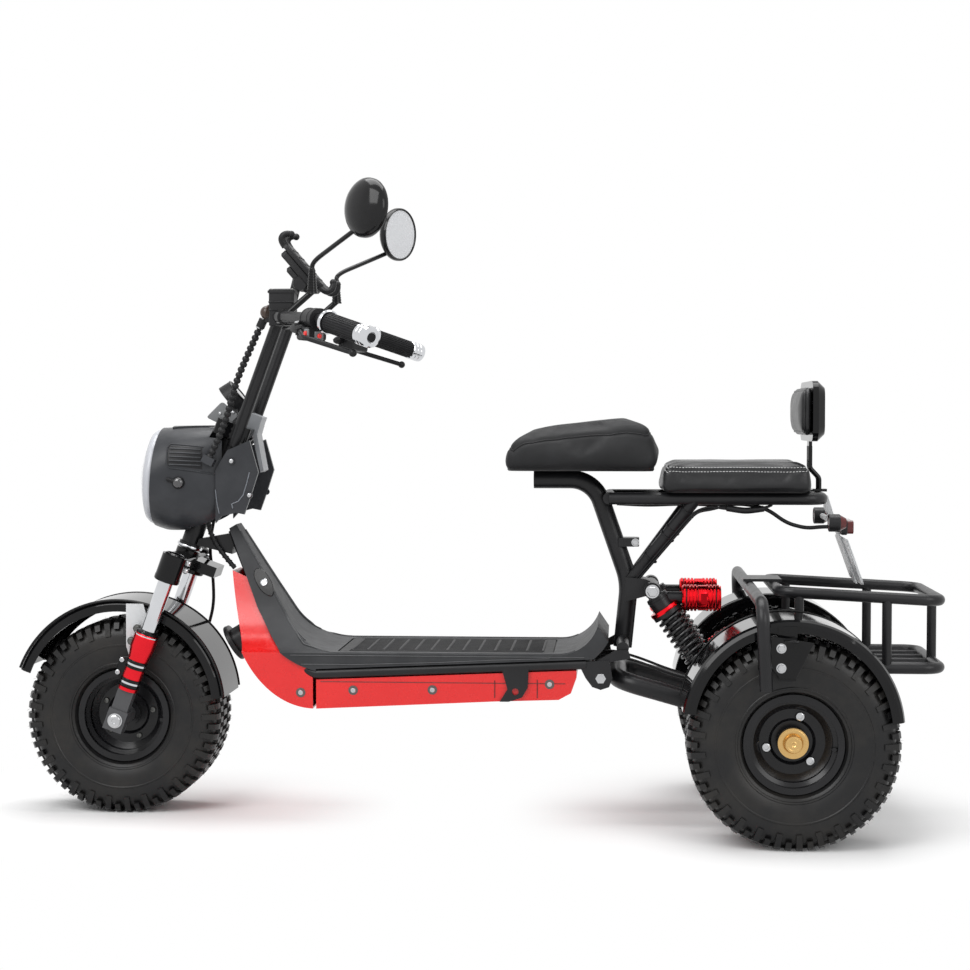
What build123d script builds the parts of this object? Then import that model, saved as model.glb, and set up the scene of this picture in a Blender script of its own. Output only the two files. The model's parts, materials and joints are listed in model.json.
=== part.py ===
from build123d import *
import os
from math import cos, pi, radians, sin, tan

# An electric cargo tricycle with one steered front wheel and two rear wheels on a swing arm.
# Millimetres. +X is forward, +Y is the rider's left, +Z is up; the wheels stand on Z = 0.

# ---------------------------------------------------------------- driving dimensions
wheelbase = 1210.0
front_axle_x = 642.0
rear_axle_x = front_axle_x - wheelbase
rear_track = 492.0
rake = 20.0

tyre_radius = 180.0
tyre_width = 145.0
rim_radius = 85.0
rim_width = 112.0
rim_wall = 4.0
bead_radius = rim_radius - 7.0
axle_diameter = 14.0

fork_spread = 208.0
stanchion_diameter = 28.0
shroud_diameter = 46.0
slider_diameter = 45.0
slider_neck = 34.0

head_tube_diameter = 36.0
steerer_diameter = 25.0
bearing_gap = 0.4
face_gap = 0.3

riser_spread = 120.0
riser_diameter = 22.0
riser_back = 26.0
bar_diameter = 22.0
bar_half_width = 385.0
grip_length = 125.0
grip_diameter = 33.0

deck_width = 280.0
deck_height = 309.0
deck_depth = 38.0
shield_lean = 59.0
shield_bend = 118.0
shield_height = 534.0
kick_lean = 75.0
kick_bend = 75.0
rail_diameter = 18.0
panel_wall = 3.0
pan_depth = 101.0

column_diameter = 34.0
rack_diameter = 22.0
rack_spread = 160.0
rack_height = 586.0
seat_tube_height = 618.0
swing_diameter = 34.0
swing_spread = 220.0
guard_diameter = 22.0
guard_spread = 720.0
guard_height = 423.0
basket_tube = 20.0
basket_width = 284.0
mudguard_wall = 3.0
front_mudguard_radius = 197.0
rear_mudguard_radius = 187.0
mudguard_half = 78.0

rider_seat_width = 230.0
passenger_seat_width = 240.0

# ---------------------------------------------------------------- shared places
steer = Plane(
    origin=(front_axle_x, 0, tyre_radius),
    x_dir=(cos(radians(rake)), 0, sin(radians(rake))),
    z_dir=(-sin(radians(rake)), 0, cos(radians(rake))),
)
leg_y = fork_spread / 2
half_track = rear_track / 2
deck_half = deck_width / 2
basket_y = basket_width / 2
rack_y = rack_spread / 2
swing_y = swing_spread / 2
guard_y = guard_spread / 2


def on_steer(forward, left, up):
    """A point given along and across the raked steering axis, measured from the front axle."""
    return steer.from_local_coords(Vector(forward, left, up))


def steer_level(up, forward=0.0, left=0.0):
    """A sketch plane square to the steering axis, its origin moved to a place on it."""
    return Plane(origin=on_steer(forward, left, up), x_dir=steer.x_dir, z_dir=steer.z_dir)


def across(y):
    """A side-view sketch plane at a distance left of the middle: local x is -X, local y is +Z."""
    return Plane(origin=(0, y, 0), x_dir=(-1, 0, 0), z_dir=(0, 1, 0))


def side(points):
    """Points of a side view, (forward, up), as the local points of the across() planes."""
    return [(-x, z) for x, z in points]


def front_view(x):
    """A sketch plane seen from the front: local x is +Y, local y is +Z."""
    return Plane(origin=(x, 0, 0), x_dir=(0, 1, 0), z_dir=(1, 0, 0))


def wheel_section(axle_x, centre_y):
    """The plane of a wheel's section: local x runs along the axle, local y runs up the radius."""
    return Plane(origin=(axle_x, centre_y, tyre_radius), x_dir=(0, 1, 0), z_dir=(1, 0, 0))


def axle_line(axle_x):
    return Axis((axle_x, 0, tyre_radius), (0, 1, 0))


def axle_plane(axle_x, y, facing=1):
    """A sketch plane square to an axle, looking out along it."""
    return Plane(origin=(axle_x, y, tyre_radius), z_dir=(0, facing, 0))


def round_tube(points, diameter, bends=0.0):
    """Add a round bar through the points to the part being built, its corners bent to a radius."""
    with BuildLine() as run:
        if bends:
            FilletPolyline(*points, radius=bends)
        else:
            Polyline(*points)
    with BuildSketch(Plane(origin=run.line @ 0, z_dir=run.line % 0)) as section:
        Circle(diameter / 2)
    sweep(section.sketch, path=run.line)


def mirrored(points):
    """The same points on the right-hand side."""
    return [(x, -y, z) for x, y, z in points]


def both_sides(points, diameter, bends=0.0):
    """A bar on the left and its twin on the right."""
    round_tube(points, diameter, bends)
    round_tube(mirrored(points), diameter, bends)


def soft_bends(points):
    """Arc radii for a cord's route: 0.45 of the shorter run, over the tangent of half the turn."""
    radii = []
    for before, corner, after in zip(points, points[1:], points[2:]):
        arriving = Vector(*corner) - Vector(*before)
        leaving = Vector(*after) - Vector(*corner)
        shorter = min(arriving.length, leaving.length)
        half_turn = radians(arriving.get_angle(leaving) / 2)
        radii.append(0.45 * shorter / tan(half_turn))
    return radii


def cord(name, points, diameter):
    """A hose or cable along its route, with arcs as large as its runs allow."""
    radii = soft_bends(points)
    with BuildPart() as tube:
        round_tube(points, diameter, radii)
    with BuildLine() as run:
        FilletPolyline(*points, radius=radii)
    length = sum(edge.length for edge in run.line.edges())
    expected = length * pi * (diameter / 2) ** 2
    print(name, "radii", [round(r, 1) for r in radii], "diameter", diameter,
          "length", round(length, 1), "volume ratio", round(tube.part.volume / expected, 3))
    return tube


def bolt(centre, facing, radius, height):
    """A low round bolt head, added to the part being built."""
    with BuildSketch(Plane(origin=centre, z_dir=facing)) as head:
        Circle(radius)
    extrude(head.sketch, amount=height)


def dome_middle(radius, edge, rise):
    """The point halfway along a ball-shaped dome's arc, from its rim to its crown on the axis."""
    height = rise - edge
    ball = (radius * radius + height * height) / (2 * height)
    half = radius / 2
    return half, rise - ball + (ball * ball - half * half) ** 0.5


def save(built, name):
    """Label a finished piece and write it as one STEP file."""
    built.part.label = name
    export_step(built.part, f"parts/{name}.step")


os.makedirs("parts", exist_ok=True)

# ---------------------------------------------------------------- wheels
tread_half = tyre_width / 2
bead_half = rim_width / 2 - rim_wall
shoulder_drop = 8.0


def tyre(axle_x, centre_y):
    """A low-pressure tyre as one closed ring seated on its rim's barrel."""
    widest = (rim_radius + tyre_radius) / 2
    shoulder = (tread_half - shoulder_drop, tyre_radius - shoulder_drop)
    with BuildPart() as ring:
        with BuildSketch(wheel_section(axle_x, centre_y)):
            with BuildLine():
                Polyline((-bead_half, rim_radius), (-bead_half, bead_radius), (bead_half, bead_radius),
                         (bead_half, rim_radius))
                Spline((bead_half, rim_radius), (tread_half, widest), shoulder)
                ThreePointArc(shoulder, (0, tyre_radius), (-shoulder[0], shoulder[1]))
                Spline((-shoulder[0], shoulder[1]), (-tread_half, widest), (-bead_half, rim_radius))
            make_face()
        revolve(axis=axle_line(axle_x))
    return ring


disc_face = 19.0
disc_radius = 56.0
step_radius = 67.0
recess_radius = 40.0
recess_depth = 5.0
hub_radius = 24.0
hub_half = 30.0


def rim(axle_x, centre_y, bore_radius):
    """A pressed rim: barrel with two flanges, a stepped and dished centre disc and a hub."""
    half = rim_width / 2
    barrel = bead_radius - rim_wall
    outer_side = [
        (half - rim_wall, bead_radius),
        (half - rim_wall, rim_radius),
        (half, rim_radius),
        (half, barrel),
        (half - 12, barrel),
        (half - 16, step_radius),
        (disc_face + 8, step_radius),
        (disc_face, disc_radius),
        (disc_face, recess_radius),
        (disc_face - recess_depth, recess_radius - recess_depth),
        (disc_face - recess_depth, hub_radius),
        (hub_half, hub_radius),
        (hub_half, bore_radius),
    ]
    with BuildPart() as wheel:
        with BuildSketch(wheel_section(axle_x, centre_y)):
            with BuildLine():
                Polyline(*outer_side, *[(-y, r) for y, r in reversed(outer_side)], close=True)
            make_face()
        revolve(axis=axle_line(axle_x))
    return wheel


axle_clearance = 0.3
front_tyre = tyre(front_axle_x, 0)
save(front_tyre, "front_tyre")
front_rim = rim(front_axle_x, 0, axle_diameter / 2 + axle_clearance)
save(front_rim, "front_rim")

brake_side = -1
half_shaft_radius = 12.0
cap_radius = 26.0
cap_depth = 12.0
nut_radius = 14.0
wheel_bolt_circle = 45.0
housing_end = half_track - hub_half - 24.0
for hand, name in ((1, "left"), (-1, "right")):
    centre_y = hand * half_track
    rear_tyre = tyre(rear_axle_x, centre_y)
    save(rear_tyre, f"rear_tyre_{name}")
    rear_rim = rim(rear_axle_x, centre_y, half_shaft_radius)
    save(rear_rim, f"rear_rim_{name}")
    inner_y = hand * (housing_end - 30)
    face_y = centre_y + hand * hub_half
    with BuildPart() as rear_hub:
        with BuildSketch(axle_plane(rear_axle_x, inner_y, hand)):
            Circle(half_shaft_radius)
        extrude(amount=abs(face_y - inner_y))
        with BuildSketch(axle_plane(rear_axle_x, face_y, hand)):
            Circle(cap_radius)
        extrude(amount=cap_depth)
        with BuildSketch(axle_plane(rear_axle_x, face_y + hand * cap_depth, hand)):
            Circle(nut_radius)
        extrude(amount=cap_depth)
        with BuildSketch(axle_plane(rear_axle_x, hand * (housing_end + 5), hand)):
            Circle(hub_radius)
        extrude(amount=half_track - hub_half - housing_end - 5)
    save(rear_hub, f"rear_hub_{name}")

# ---------------------------------------------------------------- fork
block_half = 20.0
block_width = 36.0
block_depth = 30.0
lower_leg_width = 30.0
lower_leg_depth = 24.0
sleeve_low = 58.0
sleeve_high = 168.0
crown_low = 272.0
crown_high = 320.0
bridge_low = 292.0
bridge_high = 318.0
with BuildPart() as fork_lowers:
    for hand in (1, -1):
        with BuildSketch(steer_level(-block_half, 0, hand * leg_y)):
            Rectangle(block_width, block_depth)
        extrude(amount=2 * block_half)
        with BuildSketch(steer_level(block_half, 0, hand * leg_y)):
            Rectangle(lower_leg_width, lower_leg_depth)
        extrude(amount=sleeve_low - block_half)
        bolt(Vector(front_axle_x, hand * (leg_y + block_depth / 2), tyre_radius), (0, hand, 0), 11, 6)
    with BuildSketch(axle_plane(front_axle_x, -leg_y)):
        Circle(axle_diameter / 2)
    extrude(amount=2 * leg_y)
    for hand in (1, -1):
        with BuildSketch(axle_plane(front_axle_x, hand * (leg_y - block_depth / 2), -hand)):
            Circle(hub_radius - 8)
        extrude(amount=leg_y - block_depth / 2 - hub_half - face_gap)
save(fork_lowers, "fork_lowers")

collar = slider_diameter / 2
waist = slider_neck / 2
flange = 18.0
ring_rows = [
    (flange, sleeve_low), (flange, 64), (waist - 1, 65), (waist - 1, 80), (flange, 81), (flange, 100),
    (waist - 2, 101), (waist - 2, 115), (collar - 4, 116), (collar, 140), (collar, 162),
    (collar - 3, sleeve_high),
]
with BuildPart() as fork_sleeves:
    for hand in (1, -1):
        with BuildSketch(Plane(origin=on_steer(0, hand * leg_y, 0), x_dir=steer.x_dir, z_dir=(0, -1, 0))):
            with BuildLine():
                Polyline((0, sleeve_low), *ring_rows, (0, sleeve_high), close=True)
            make_face()
        revolve(axis=Axis(on_steer(0, hand * leg_y, 0), steer.z_dir))
save(fork_sleeves, "fork_sleeves")

with BuildPart() as fork_stanchions:
    for hand in (1, -1):
        with BuildSketch(steer_level(sleeve_high, 0, hand * leg_y)):
            Circle(stanchion_diameter / 2)
        extrude(amount=crown_low - sleeve_high)
save(fork_stanchions, "fork_stanchions")

cup_radius = 22.0
cup_low = 326.0
head_low = 328.0
head_high = 545.0
clamp_low = 552.0
clamp_high = 580.0
tongue_reach = 68.0
with BuildPart() as fork_crown:
    for hand in (1, -1):
        with BuildSketch(steer_level(crown_low, 0, hand * leg_y)):
            Circle(shroud_diameter / 2)
        extrude(amount=crown_high - crown_low)
    bridge_up = (bridge_low + bridge_high) / 2
    with BuildSketch(Plane(origin=on_steer(0, leg_y, bridge_up), x_dir=steer.x_dir, z_dir=(0, -1, 0))):
        RectangleRounded(shroud_diameter - 2, bridge_high - bridge_low, 7)
    extrude(amount=2 * leg_y)
    with BuildSketch(steer_level(bridge_low + 3, -tongue_reach / 2)):
        Rectangle(tongue_reach, 70)
    extrude(amount=bridge_high - bridge_low - 6)
    with BuildSketch(steer_level(bridge_high - 2)):
        Circle(cup_radius)
    extrude(amount=cup_low - bridge_high + 2 - face_gap)
    with BuildSketch(steer_level(bridge_high - 10)):
        Circle(steerer_diameter / 2)
    extrude(amount=clamp_low - bridge_high + 10)
save(fork_crown, "fork_crown")

clamp_spread = riser_spread + 10
with BuildPart() as riser_clamp:
    with BuildSketch(steer_level(clamp_low, -riser_back / 2)):
        RectangleRounded(riser_back + 40, clamp_spread, 8)
        with Locations((-riser_back / 2, riser_spread / 2), (-riser_back / 2, -riser_spread / 2)):
            Circle(riser_diameter / 2 + face_gap / 3, mode=Mode.SUBTRACT)
    extrude(amount=clamp_high - clamp_low)
save(riser_clamp, "riser_clamp")


# the front brake: a drum plate in the hub's right side, held by an arm on the right leg
plate_radius = 50.0
plate_gap = 5.0
plate_wall = 9.0
with BuildPart() as brake_plate:
    plate_y = brake_side * (disc_face + plate_gap)
    with BuildSketch(axle_plane(front_axle_x, plate_y, brake_side)):
        Circle(plate_radius)
        Circle(hub_radius + plate_gap, mode=Mode.SUBTRACT)
    extrude(amount=plate_wall)
    with BuildSketch(axle_plane(front_axle_x, plate_y + brake_side * plate_wall, brake_side)):
        Circle(plate_radius - 6)
        Circle(hub_radius + plate_gap, mode=Mode.SUBTRACT)
    extrude(amount=plate_wall)
    arm_y = plate_y + brake_side * 2 * plate_wall
    with BuildSketch(Plane(origin=on_steer(0, arm_y, 0), x_dir=steer.x_dir, z_dir=(0, brake_side, 0))):
        with Locations((0, -brake_side * (hub_radius + sleeve_low - 2) / 2)):
            Rectangle(20, sleeve_low - 2 - hub_radius)
    extrude(amount=leg_y - lower_leg_depth / 2 - abs(arm_y))
save(brake_plate, "front_brake_plate")

# ---------------------------------------------------------------- handlebar
bar_up = 790.0
riser_foot = 540.0
bar_middle = on_steer(-riser_back, 0, bar_up)
with BuildPart() as risers:
    for hand in (1, -1):
        with BuildSketch(steer_level(riser_foot, -riser_back, hand * riser_spread / 2)):
            Circle(riser_diameter / 2)
        extrude(amount=bar_up - riser_foot - bar_diameter / 2)
save(risers, "bar_risers")

bar_bend_y = riser_spread / 2 + 55
grip_root = Vector(bar_middle.X - 112, bar_half_width - 95, bar_middle.Z - 15)
grip_tip = Vector(bar_middle.X - 203, bar_half_width, bar_middle.Z - 47)
with BuildPart() as handlebar:
    half_bar = [tuple(grip_tip), tuple(grip_root), (bar_middle.X, bar_bend_y, bar_middle.Z)]
    round_tube(half_bar + mirrored(reversed(half_bar)), bar_diameter, 40)
save(handlebar, "handlebar")
with BuildPart() as bar_room:
    round_tube(half_bar + mirrored(reversed(half_bar)), bar_diameter + 0.2, 40)


def swap_side(vector, hand):
    """The same place or direction on the side that the hand names: 1 for left, -1 for right."""
    return Vector(vector.X, hand * vector.Y, vector.Z)


along_grip = (grip_tip - grip_root).normalized()
grip_end = grip_tip + along_grip * 8
collar_length = 7.0
with BuildPart() as grips:
    for hand in (1, -1):
        facing = swap_side(along_grip, hand)
        tip = swap_side(grip_end, hand)
        with BuildSketch(Plane(origin=tip, z_dir=-facing)):
            Circle(grip_diameter / 2)
        extrude(amount=grip_length)
        with BuildSketch(Plane(origin=tip - facing * (grip_length - collar_length), z_dir=-facing)):
            Circle(grip_diameter / 2 + 2)
        extrude(amount=collar_length)
        with BuildSketch(Plane(origin=tip - facing * 8, z_dir=-facing)):
            Circle(bar_diameter / 2)
        extrude(amount=grip_length, mode=Mode.SUBTRACT)
save(grips, "grips")

bar_run = Vector(*half_bar[2]) - grip_root
bar_way = bar_run.normalized()
perch = grip_root + bar_way * 22
lever_root = perch + bar_way * 12 + Vector(26, 0, -16)
lever_ball = 7.0
pod_length = 44.0
box_length = 46.0
box_x = bar_middle.X - 17
box_y = riser_spread / 2 + 58
loom_diameter = 12.0
loom_start = Vector(bar_middle.X + 28, box_y - 16, bar_middle.Z - 19)
loom_points = [
    tuple(loom_start), (front_axle_x - 244, 97, 848), (front_axle_x - 221, 94, 797),
    (front_axle_x - 208, 93, 748), (front_axle_x - 193, 93, 703), (front_axle_x - 172, 95, 660),
]
loom_way = (Vector(*loom_points[1]) - loom_start).normalized()
with BuildPart() as controls:
    for hand in (1, -1):
        way = swap_side(bar_way, hand)
        with BuildSketch(Plane(origin=swap_side(perch, hand) - way * 18, z_dir=way)):
            Circle(bar_diameter / 2 + 8)
        extrude(amount=pod_length)
        with BuildSketch(Plane(origin=swap_side(perch, hand) - way * 18 + Vector(6, 0, -bar_diameter / 2 - 14),
                               x_dir=(0, 0, 1), z_dir=way)):
            RectangleRounded(24, 36, 6)
        extrude(amount=pod_length)
        lever = [
            swap_side(lever_root, hand),
            swap_side(grip_root + Vector(28, 8, -30), hand),
            swap_side(grip_tip + Vector(26, -20, -27), hand),
        ]
        round_tube([tuple(point) for point in lever], 9, 30)
        with Locations(Plane(origin=lever[2], z_dir=(lever[2] - lever[1]).normalized())):
            Sphere(lever_ball)
    # the brake fluid box straddles the bar beside the left riser
    with BuildSketch(Plane(origin=(box_x, box_y, bar_middle.Z - 17))):
        RectangleRounded(box_length, 40, 5)
    extrude(amount=58)
    with BuildSketch(Plane(origin=(box_x, box_y, bar_middle.Z + 41))):
        RectangleRounded(box_length + 4, 44, 5)
    extrude(amount=4)
    # the hose's fitting under the box
    with BuildSketch(Plane(origin=loom_start - loom_way * 16, z_dir=loom_way)):
        Circle(loom_diameter / 2 + 2)
    extrude(amount=16)
    with BuildSketch(Plane(origin=(box_x + box_length / 2 + 4, box_y - 14, bar_middle.Z - 10))):
        Rectangle(16, 16)
    extrude(amount=20)
    add(bar_room.part, mode=Mode.SUBTRACT)
save(controls, "bar_controls")

# ---------------------------------------------------------------- mirrors, holder, dash
mirror_radius = 52.0
mirror_turn = 32.0
mirror_rim = 6.0
mirror_dome = 22.0
mirror_centre = Vector(front_axle_x - 483, 245, bar_middle.Z + 179)
stalk_diameter = 9.0
boot_diameter = 16.0
boot_height = 44.0
boot = Vector(bar_middle.X - 75, 150, bar_middle.Z + 38)
with BuildPart() as mirrors:
    for hand in (1, -1):
        normal = Vector(cos(radians(mirror_turn)), hand * sin(radians(mirror_turn)), 0)
        centre = swap_side(mirror_centre, hand)
        with BuildSketch(Plane(origin=centre, x_dir=(0, 0, 1), z_dir=normal.cross(Vector(0, 0, 1)))):
            with BuildLine():
                Polyline((0, 0), (mirror_radius, 0), (mirror_radius, -mirror_rim))
                middle = dome_middle(mirror_radius, mirror_rim, mirror_rim + mirror_dome)
                ThreePointArc((mirror_radius, -mirror_rim), (middle[0], -middle[1]),
                              (0, -mirror_rim - mirror_dome))
                Line((0, -mirror_rim - mirror_dome), (0, 0))
            make_face()
        revolve(axis=Axis(centre, normal))
        foot = swap_side(boot, hand)
        knee = foot + Vector(0, 0, boot_height + 12)
        hold = centre + normal * (mirror_rim + 8) - Vector(0, 0, mirror_radius * 0.45)
        round_tube([tuple(foot), tuple(knee), tuple(hold)], stalk_diameter, 18)
        with BuildSketch(Plane(origin=foot)):
            Circle(boot_diameter / 2)
        extrude(amount=boot_height)
        # the bracket reaches from the bar's surface to the foot of the stalk
        on_bar = swap_side(grip_root + bar_way * (bar_run.length * (grip_root.Y - boot.Y)
                                                  / (grip_root.Y - bar_bend_y)), hand)
        reach = (foot - on_bar).normalized()
        round_tube([tuple(on_bar + reach * (bar_diameter / 2 + face_gap)),
                    tuple(foot + Vector(0, 0, 6))], 11)
    add(bar_room.part, mode=Mode.SUBTRACT)
save(mirrors, "mirrors")

holder_lean = 41.0
holder_length = 112.0
holder_width = 72.0
holder_depth = 12.0
holder_normal = Vector(-cos(radians(holder_lean)), 0, sin(radians(holder_lean)))
holder_up = Vector(sin(radians(holder_lean)), 0, cos(radians(holder_lean)))
holder_middle = Vector(bar_middle.X - 34, 0, bar_middle.Z + 92)
with BuildPart() as holder:
    with BuildSketch(Plane(origin=holder_middle, x_dir=(0, 1, 0), z_dir=holder_normal)):
        RectangleRounded(holder_width, holder_length, 12)
    extrude(amount=holder_depth)
    for hand in (1, -1):
        hook = holder_middle + holder_up * (holder_length / 2) + Vector(0, hand * 24, 0)
        with BuildSketch(Plane(origin=hook + holder_normal * 13, x_dir=(0, 1, 0), z_dir=holder_up)):
            Rectangle(16, 28)
        extrude(amount=-14)
        with BuildSketch(Plane(origin=hook + holder_normal * 22, x_dir=(0, 1, 0), z_dir=holder_up)):
            Rectangle(16, 10)
        extrude(amount=-26)
    stem_foot = Vector(bar_middle.X - 6, 0, bar_middle.Z)
    round_tube([tuple(stem_foot), tuple(holder_middle + holder_normal * 3)], 20)
    with BuildSketch(across(-16)):
        with Locations((-bar_middle.X, bar_middle.Z)):
            Circle(bar_diameter / 2 + 7)
    extrude(amount=32)
    with BuildSketch(across(-40)):
        with Locations((-bar_middle.X, bar_middle.Z)):
            Circle(bar_diameter / 2)
    extrude(amount=80, mode=Mode.SUBTRACT)
save(holder, "phone_holder")

dash_radius = 29.0
dash_forward = 24.0
dash_up = clamp_high + 34.0
dash_tilt = 30.0
dash_facing = on_steer(-sin(radians(dash_tilt)), 0, cos(radians(dash_tilt))) - on_steer(0, 0, 0)
with BuildPart() as dash:
    with BuildSketch(steer_level(clamp_high, dash_forward - 22)):
        Rectangle(24, 40)
    with BuildSketch(steer_level(clamp_high + 40, dash_forward - 12)):
        Rectangle(14, 26)
    loft()
    with BuildSketch(Plane(origin=on_steer(dash_forward - 2, 0, dash_up), z_dir=dash_facing)):
        Circle(dash_radius)
    extrude(amount=22, taper=8)
save(dash, "dash_display")

# ---------------------------------------------------------------- nacelle
nacelle_radius = 92.0
brake_line = [
    (front_axle_x - 152, -46, 550), (front_axle_x - 137, -62, 488), (front_axle_x - 141, -78, 424),
    (front_axle_x - 140, -88, 372), (front_axle_x - 126, -90, 322), (front_axle_x - 94, -90, 290),
    (front_axle_x - 57, -86, 258), (front_axle_x - 27, -82, 215),
]
nacelle_back = front_axle_x - 190
nacelle_middle = front_axle_x - 152
nacelle_low = 528.0
back_rise = 25.0
nacelle_top = 714.0
nacelle_height = nacelle_top - nacelle_low
nacelle_wall = 3.0
cover_wall = 8.0
lamp_tilt = 4.4
lamp_centre = Vector(front_axle_x - 60, 0, (nacelle_top + nacelle_low) / 2)
lamp_plane = Plane(
    origin=lamp_centre, x_dir=(0, 1, 0), z_dir=(cos(radians(lamp_tilt)), 0, sin(radians(lamp_tilt)))
)
lamp_radius = 80.0
lens_rise = 34.0
lens_edge = 12.0
body_half = nacelle_radius - 16


def bowl(inset):
    """The lamp housing's body: round at the lamp, squarer towards the rider."""
    with BuildPart() as body:
        with BuildSketch(lamp_plane.offset(-inset)):
            RectangleRounded(2 * (nacelle_radius - inset), 2 * (nacelle_radius - inset),
                             nacelle_radius - inset - 1)
        with BuildSketch(front_view(nacelle_middle)):
            with Locations((0, (nacelle_top + nacelle_low) / 2)):
                RectangleRounded(2 * (nacelle_radius - 6 - inset), nacelle_height - 2 * inset, 52 - inset)
        with BuildSketch(front_view(nacelle_back - (10 if inset > 0 else 0))):
            with Locations((0, (nacelle_top + nacelle_low + back_rise) / 2 - 2)):
                RectangleRounded(2 * (body_half - inset), nacelle_height - back_rise + 4 - 2 * inset,
                                 40 - inset)
        loft()
    return body


stem_clear = 50.0
with BuildPart() as nacelle:
    add(bowl(0).part)
    add(bowl(nacelle_wall).part, mode=Mode.SUBTRACT)
    with BuildSketch(steer_level(head_low)):
        Circle(stem_clear)
        with Locations((-stem_clear, 0)):
            Rectangle(2 * stem_clear, 120)
    extrude(amount=clamp_low - head_low - 20, mode=Mode.SUBTRACT)
    with BuildSketch(steer_level(clamp_low - 20, -riser_back / 2)):
        Rectangle(riser_back + 40 + 2 * face_gap, riser_spread + riser_diameter + 4)
    extrude(amount=120, mode=Mode.SUBTRACT)
    with BuildSketch(lamp_plane):
        Circle(lamp_radius - 6)
    extrude(amount=20, both=True, mode=Mode.SUBTRACT)
    # the clip that takes the hose's lower end
    clip_way = (Vector(*loom_points[-1]) - Vector(*loom_points[-2])).normalized()
    with BuildSketch(Plane(origin=Vector(*loom_points[-1]) + clip_way * 0.1, x_dir=(0, 1, 0),
                           z_dir=clip_way)):
        with Locations((-7, 0)):
            Rectangle(28, 22)
    extrude(amount=14)
save(nacelle, "headlamp_nacelle")

with BuildPart() as lens:
    with BuildSketch(Plane(origin=lamp_centre, x_dir=lamp_plane.y_dir, z_dir=lamp_plane.x_dir)):
        with BuildLine():
            Polyline((0, face_gap), (lamp_radius, face_gap), (lamp_radius, lens_edge))
            ThreePointArc((lamp_radius, lens_edge), dome_middle(lamp_radius, lens_edge, lens_rise),
                          (0, lens_rise))
            Line((0, lens_rise), (0, face_gap))
        make_face()
    revolve(axis=Axis(lamp_centre, lamp_plane.z_dir))
save(lens, "headlamp_lens")

cover_y = body_half + 1.0
cover_points = [
    (front_axle_x - 180, 636), (front_axle_x - 202, 672), (front_axle_x - 243, 690),
    (front_axle_x - 259, 632), (front_axle_x - 243, 583), (front_axle_x - 233, 555),
    (front_axle_x - 218, 558), (front_axle_x - 191, 551), (front_axle_x - 180, 539),
]
with BuildPart() as side_covers:
    for hand in (1, -1):
        with BuildSketch(Plane(origin=(0, hand * cover_y, 0), x_dir=(-1, 0, 0), z_dir=(0, 1, 0))):
            with BuildLine():
                Polyline(*side(cover_points), close=True)
            make_face()
        extrude(amount=hand * cover_wall)
        for x, z in ((front_axle_x - 210, 652), (front_axle_x - 243, 590)):
            bolt(Vector(x, hand * (cover_y + cover_wall), z), (0, hand, 0), 6, 3)
    add(bowl(-face_gap).part, mode=Mode.SUBTRACT)
save(side_covers, "nacelle_sides")

with BuildPart() as rear_cover:
    with BuildSketch(steer_level(clamp_high, -riser_back / 2 - 27)):
        Rectangle(24, 50)
    extrude(amount=26)
    with BuildSketch(across(-25)):
        with BuildLine():
            Polyline(*side([
                (front_axle_x - 231, 717), (front_axle_x - 251, 716), (front_axle_x - 246, 700),
                (front_axle_x - 258, 634), (front_axle_x - 252, 630), (front_axle_x - 239, 690),
            ]), close=True)
        make_face()
    extrude(amount=50)
    with BuildSketch(steer_level(clamp_low, -riser_back / 2)):
        Rectangle(riser_back + 40 + face_gap, clamp_spread)
    extrude(amount=clamp_high - clamp_low, mode=Mode.SUBTRACT)
save(rear_cover, "nacelle_cover")

# ---------------------------------------------------------------- mudguards
guard_lip = 22.0


def mudguard(centre, radius, start, end):
    """Add an arched guard to the part being built: a crown band with a skirt at each edge."""
    half = mudguard_half
    inner = radius - mudguard_wall
    half_row = [
        (half - mudguard_wall, radius - guard_lip), (half, radius - guard_lip), (half, radius - 9),
        (half - 4, radius - 3), (half - 12, radius),
    ]
    inner_row = [(half - 12, inner), (half - 4 - mudguard_wall, inner - 2), (half - mudguard_wall, inner - 8)]
    loop = half_row + [(-y, r) for y, r in reversed(half_row)]
    loop += [(-y, r) for y, r in reversed(inner_row)] + inner_row
    plane = Plane(origin=centre, x_dir=(0, 1, 0), z_dir=(1, 0, 0)).rotated((0, 90 - start, 0))
    with BuildSketch(plane) as band:
        with BuildLine():
            Polyline(*loop, close=True)
        make_face()
    revolve(band.sketch, axis=Axis(centre, (0, 1, 0)), revolution_arc=-(end - start))


front_guard_centre = (front_axle_x + 5, 0, tyre_radius + 20)
with BuildPart() as front_guard:
    mudguard(front_guard_centre, front_mudguard_radius, 20, 175)
save(front_guard, "front_mudguard")

# a plate on each side hangs from the guard's skirt down to the fork's sleeve
stay_wall = 2.9
with BuildPart() as guard_stays:
    for hand in (1, -1):
        with BuildSketch(across(hand * (mudguard_half + face_gap))):
            with BuildLine():
                Polyline(*side([
                    (front_axle_x - 44, 390), (front_axle_x - 12, 390), (front_axle_x - 12, 312),
                    (front_axle_x - 18, 292), (front_axle_x - 46, 292), (front_axle_x - 60, 306),
                    (front_axle_x - 60, 334),
                ]), close=True)
            make_face()
        extrude(amount=hand * stay_wall)
        for x, z in ((front_axle_x - 32, 349), (front_axle_x - 21, 319)):
            bolt(Vector(x, hand * (mudguard_half + stay_wall), z), (0, hand, 0), 7, 5)
save(guard_stays, "front_mudguard_stays")

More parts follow.
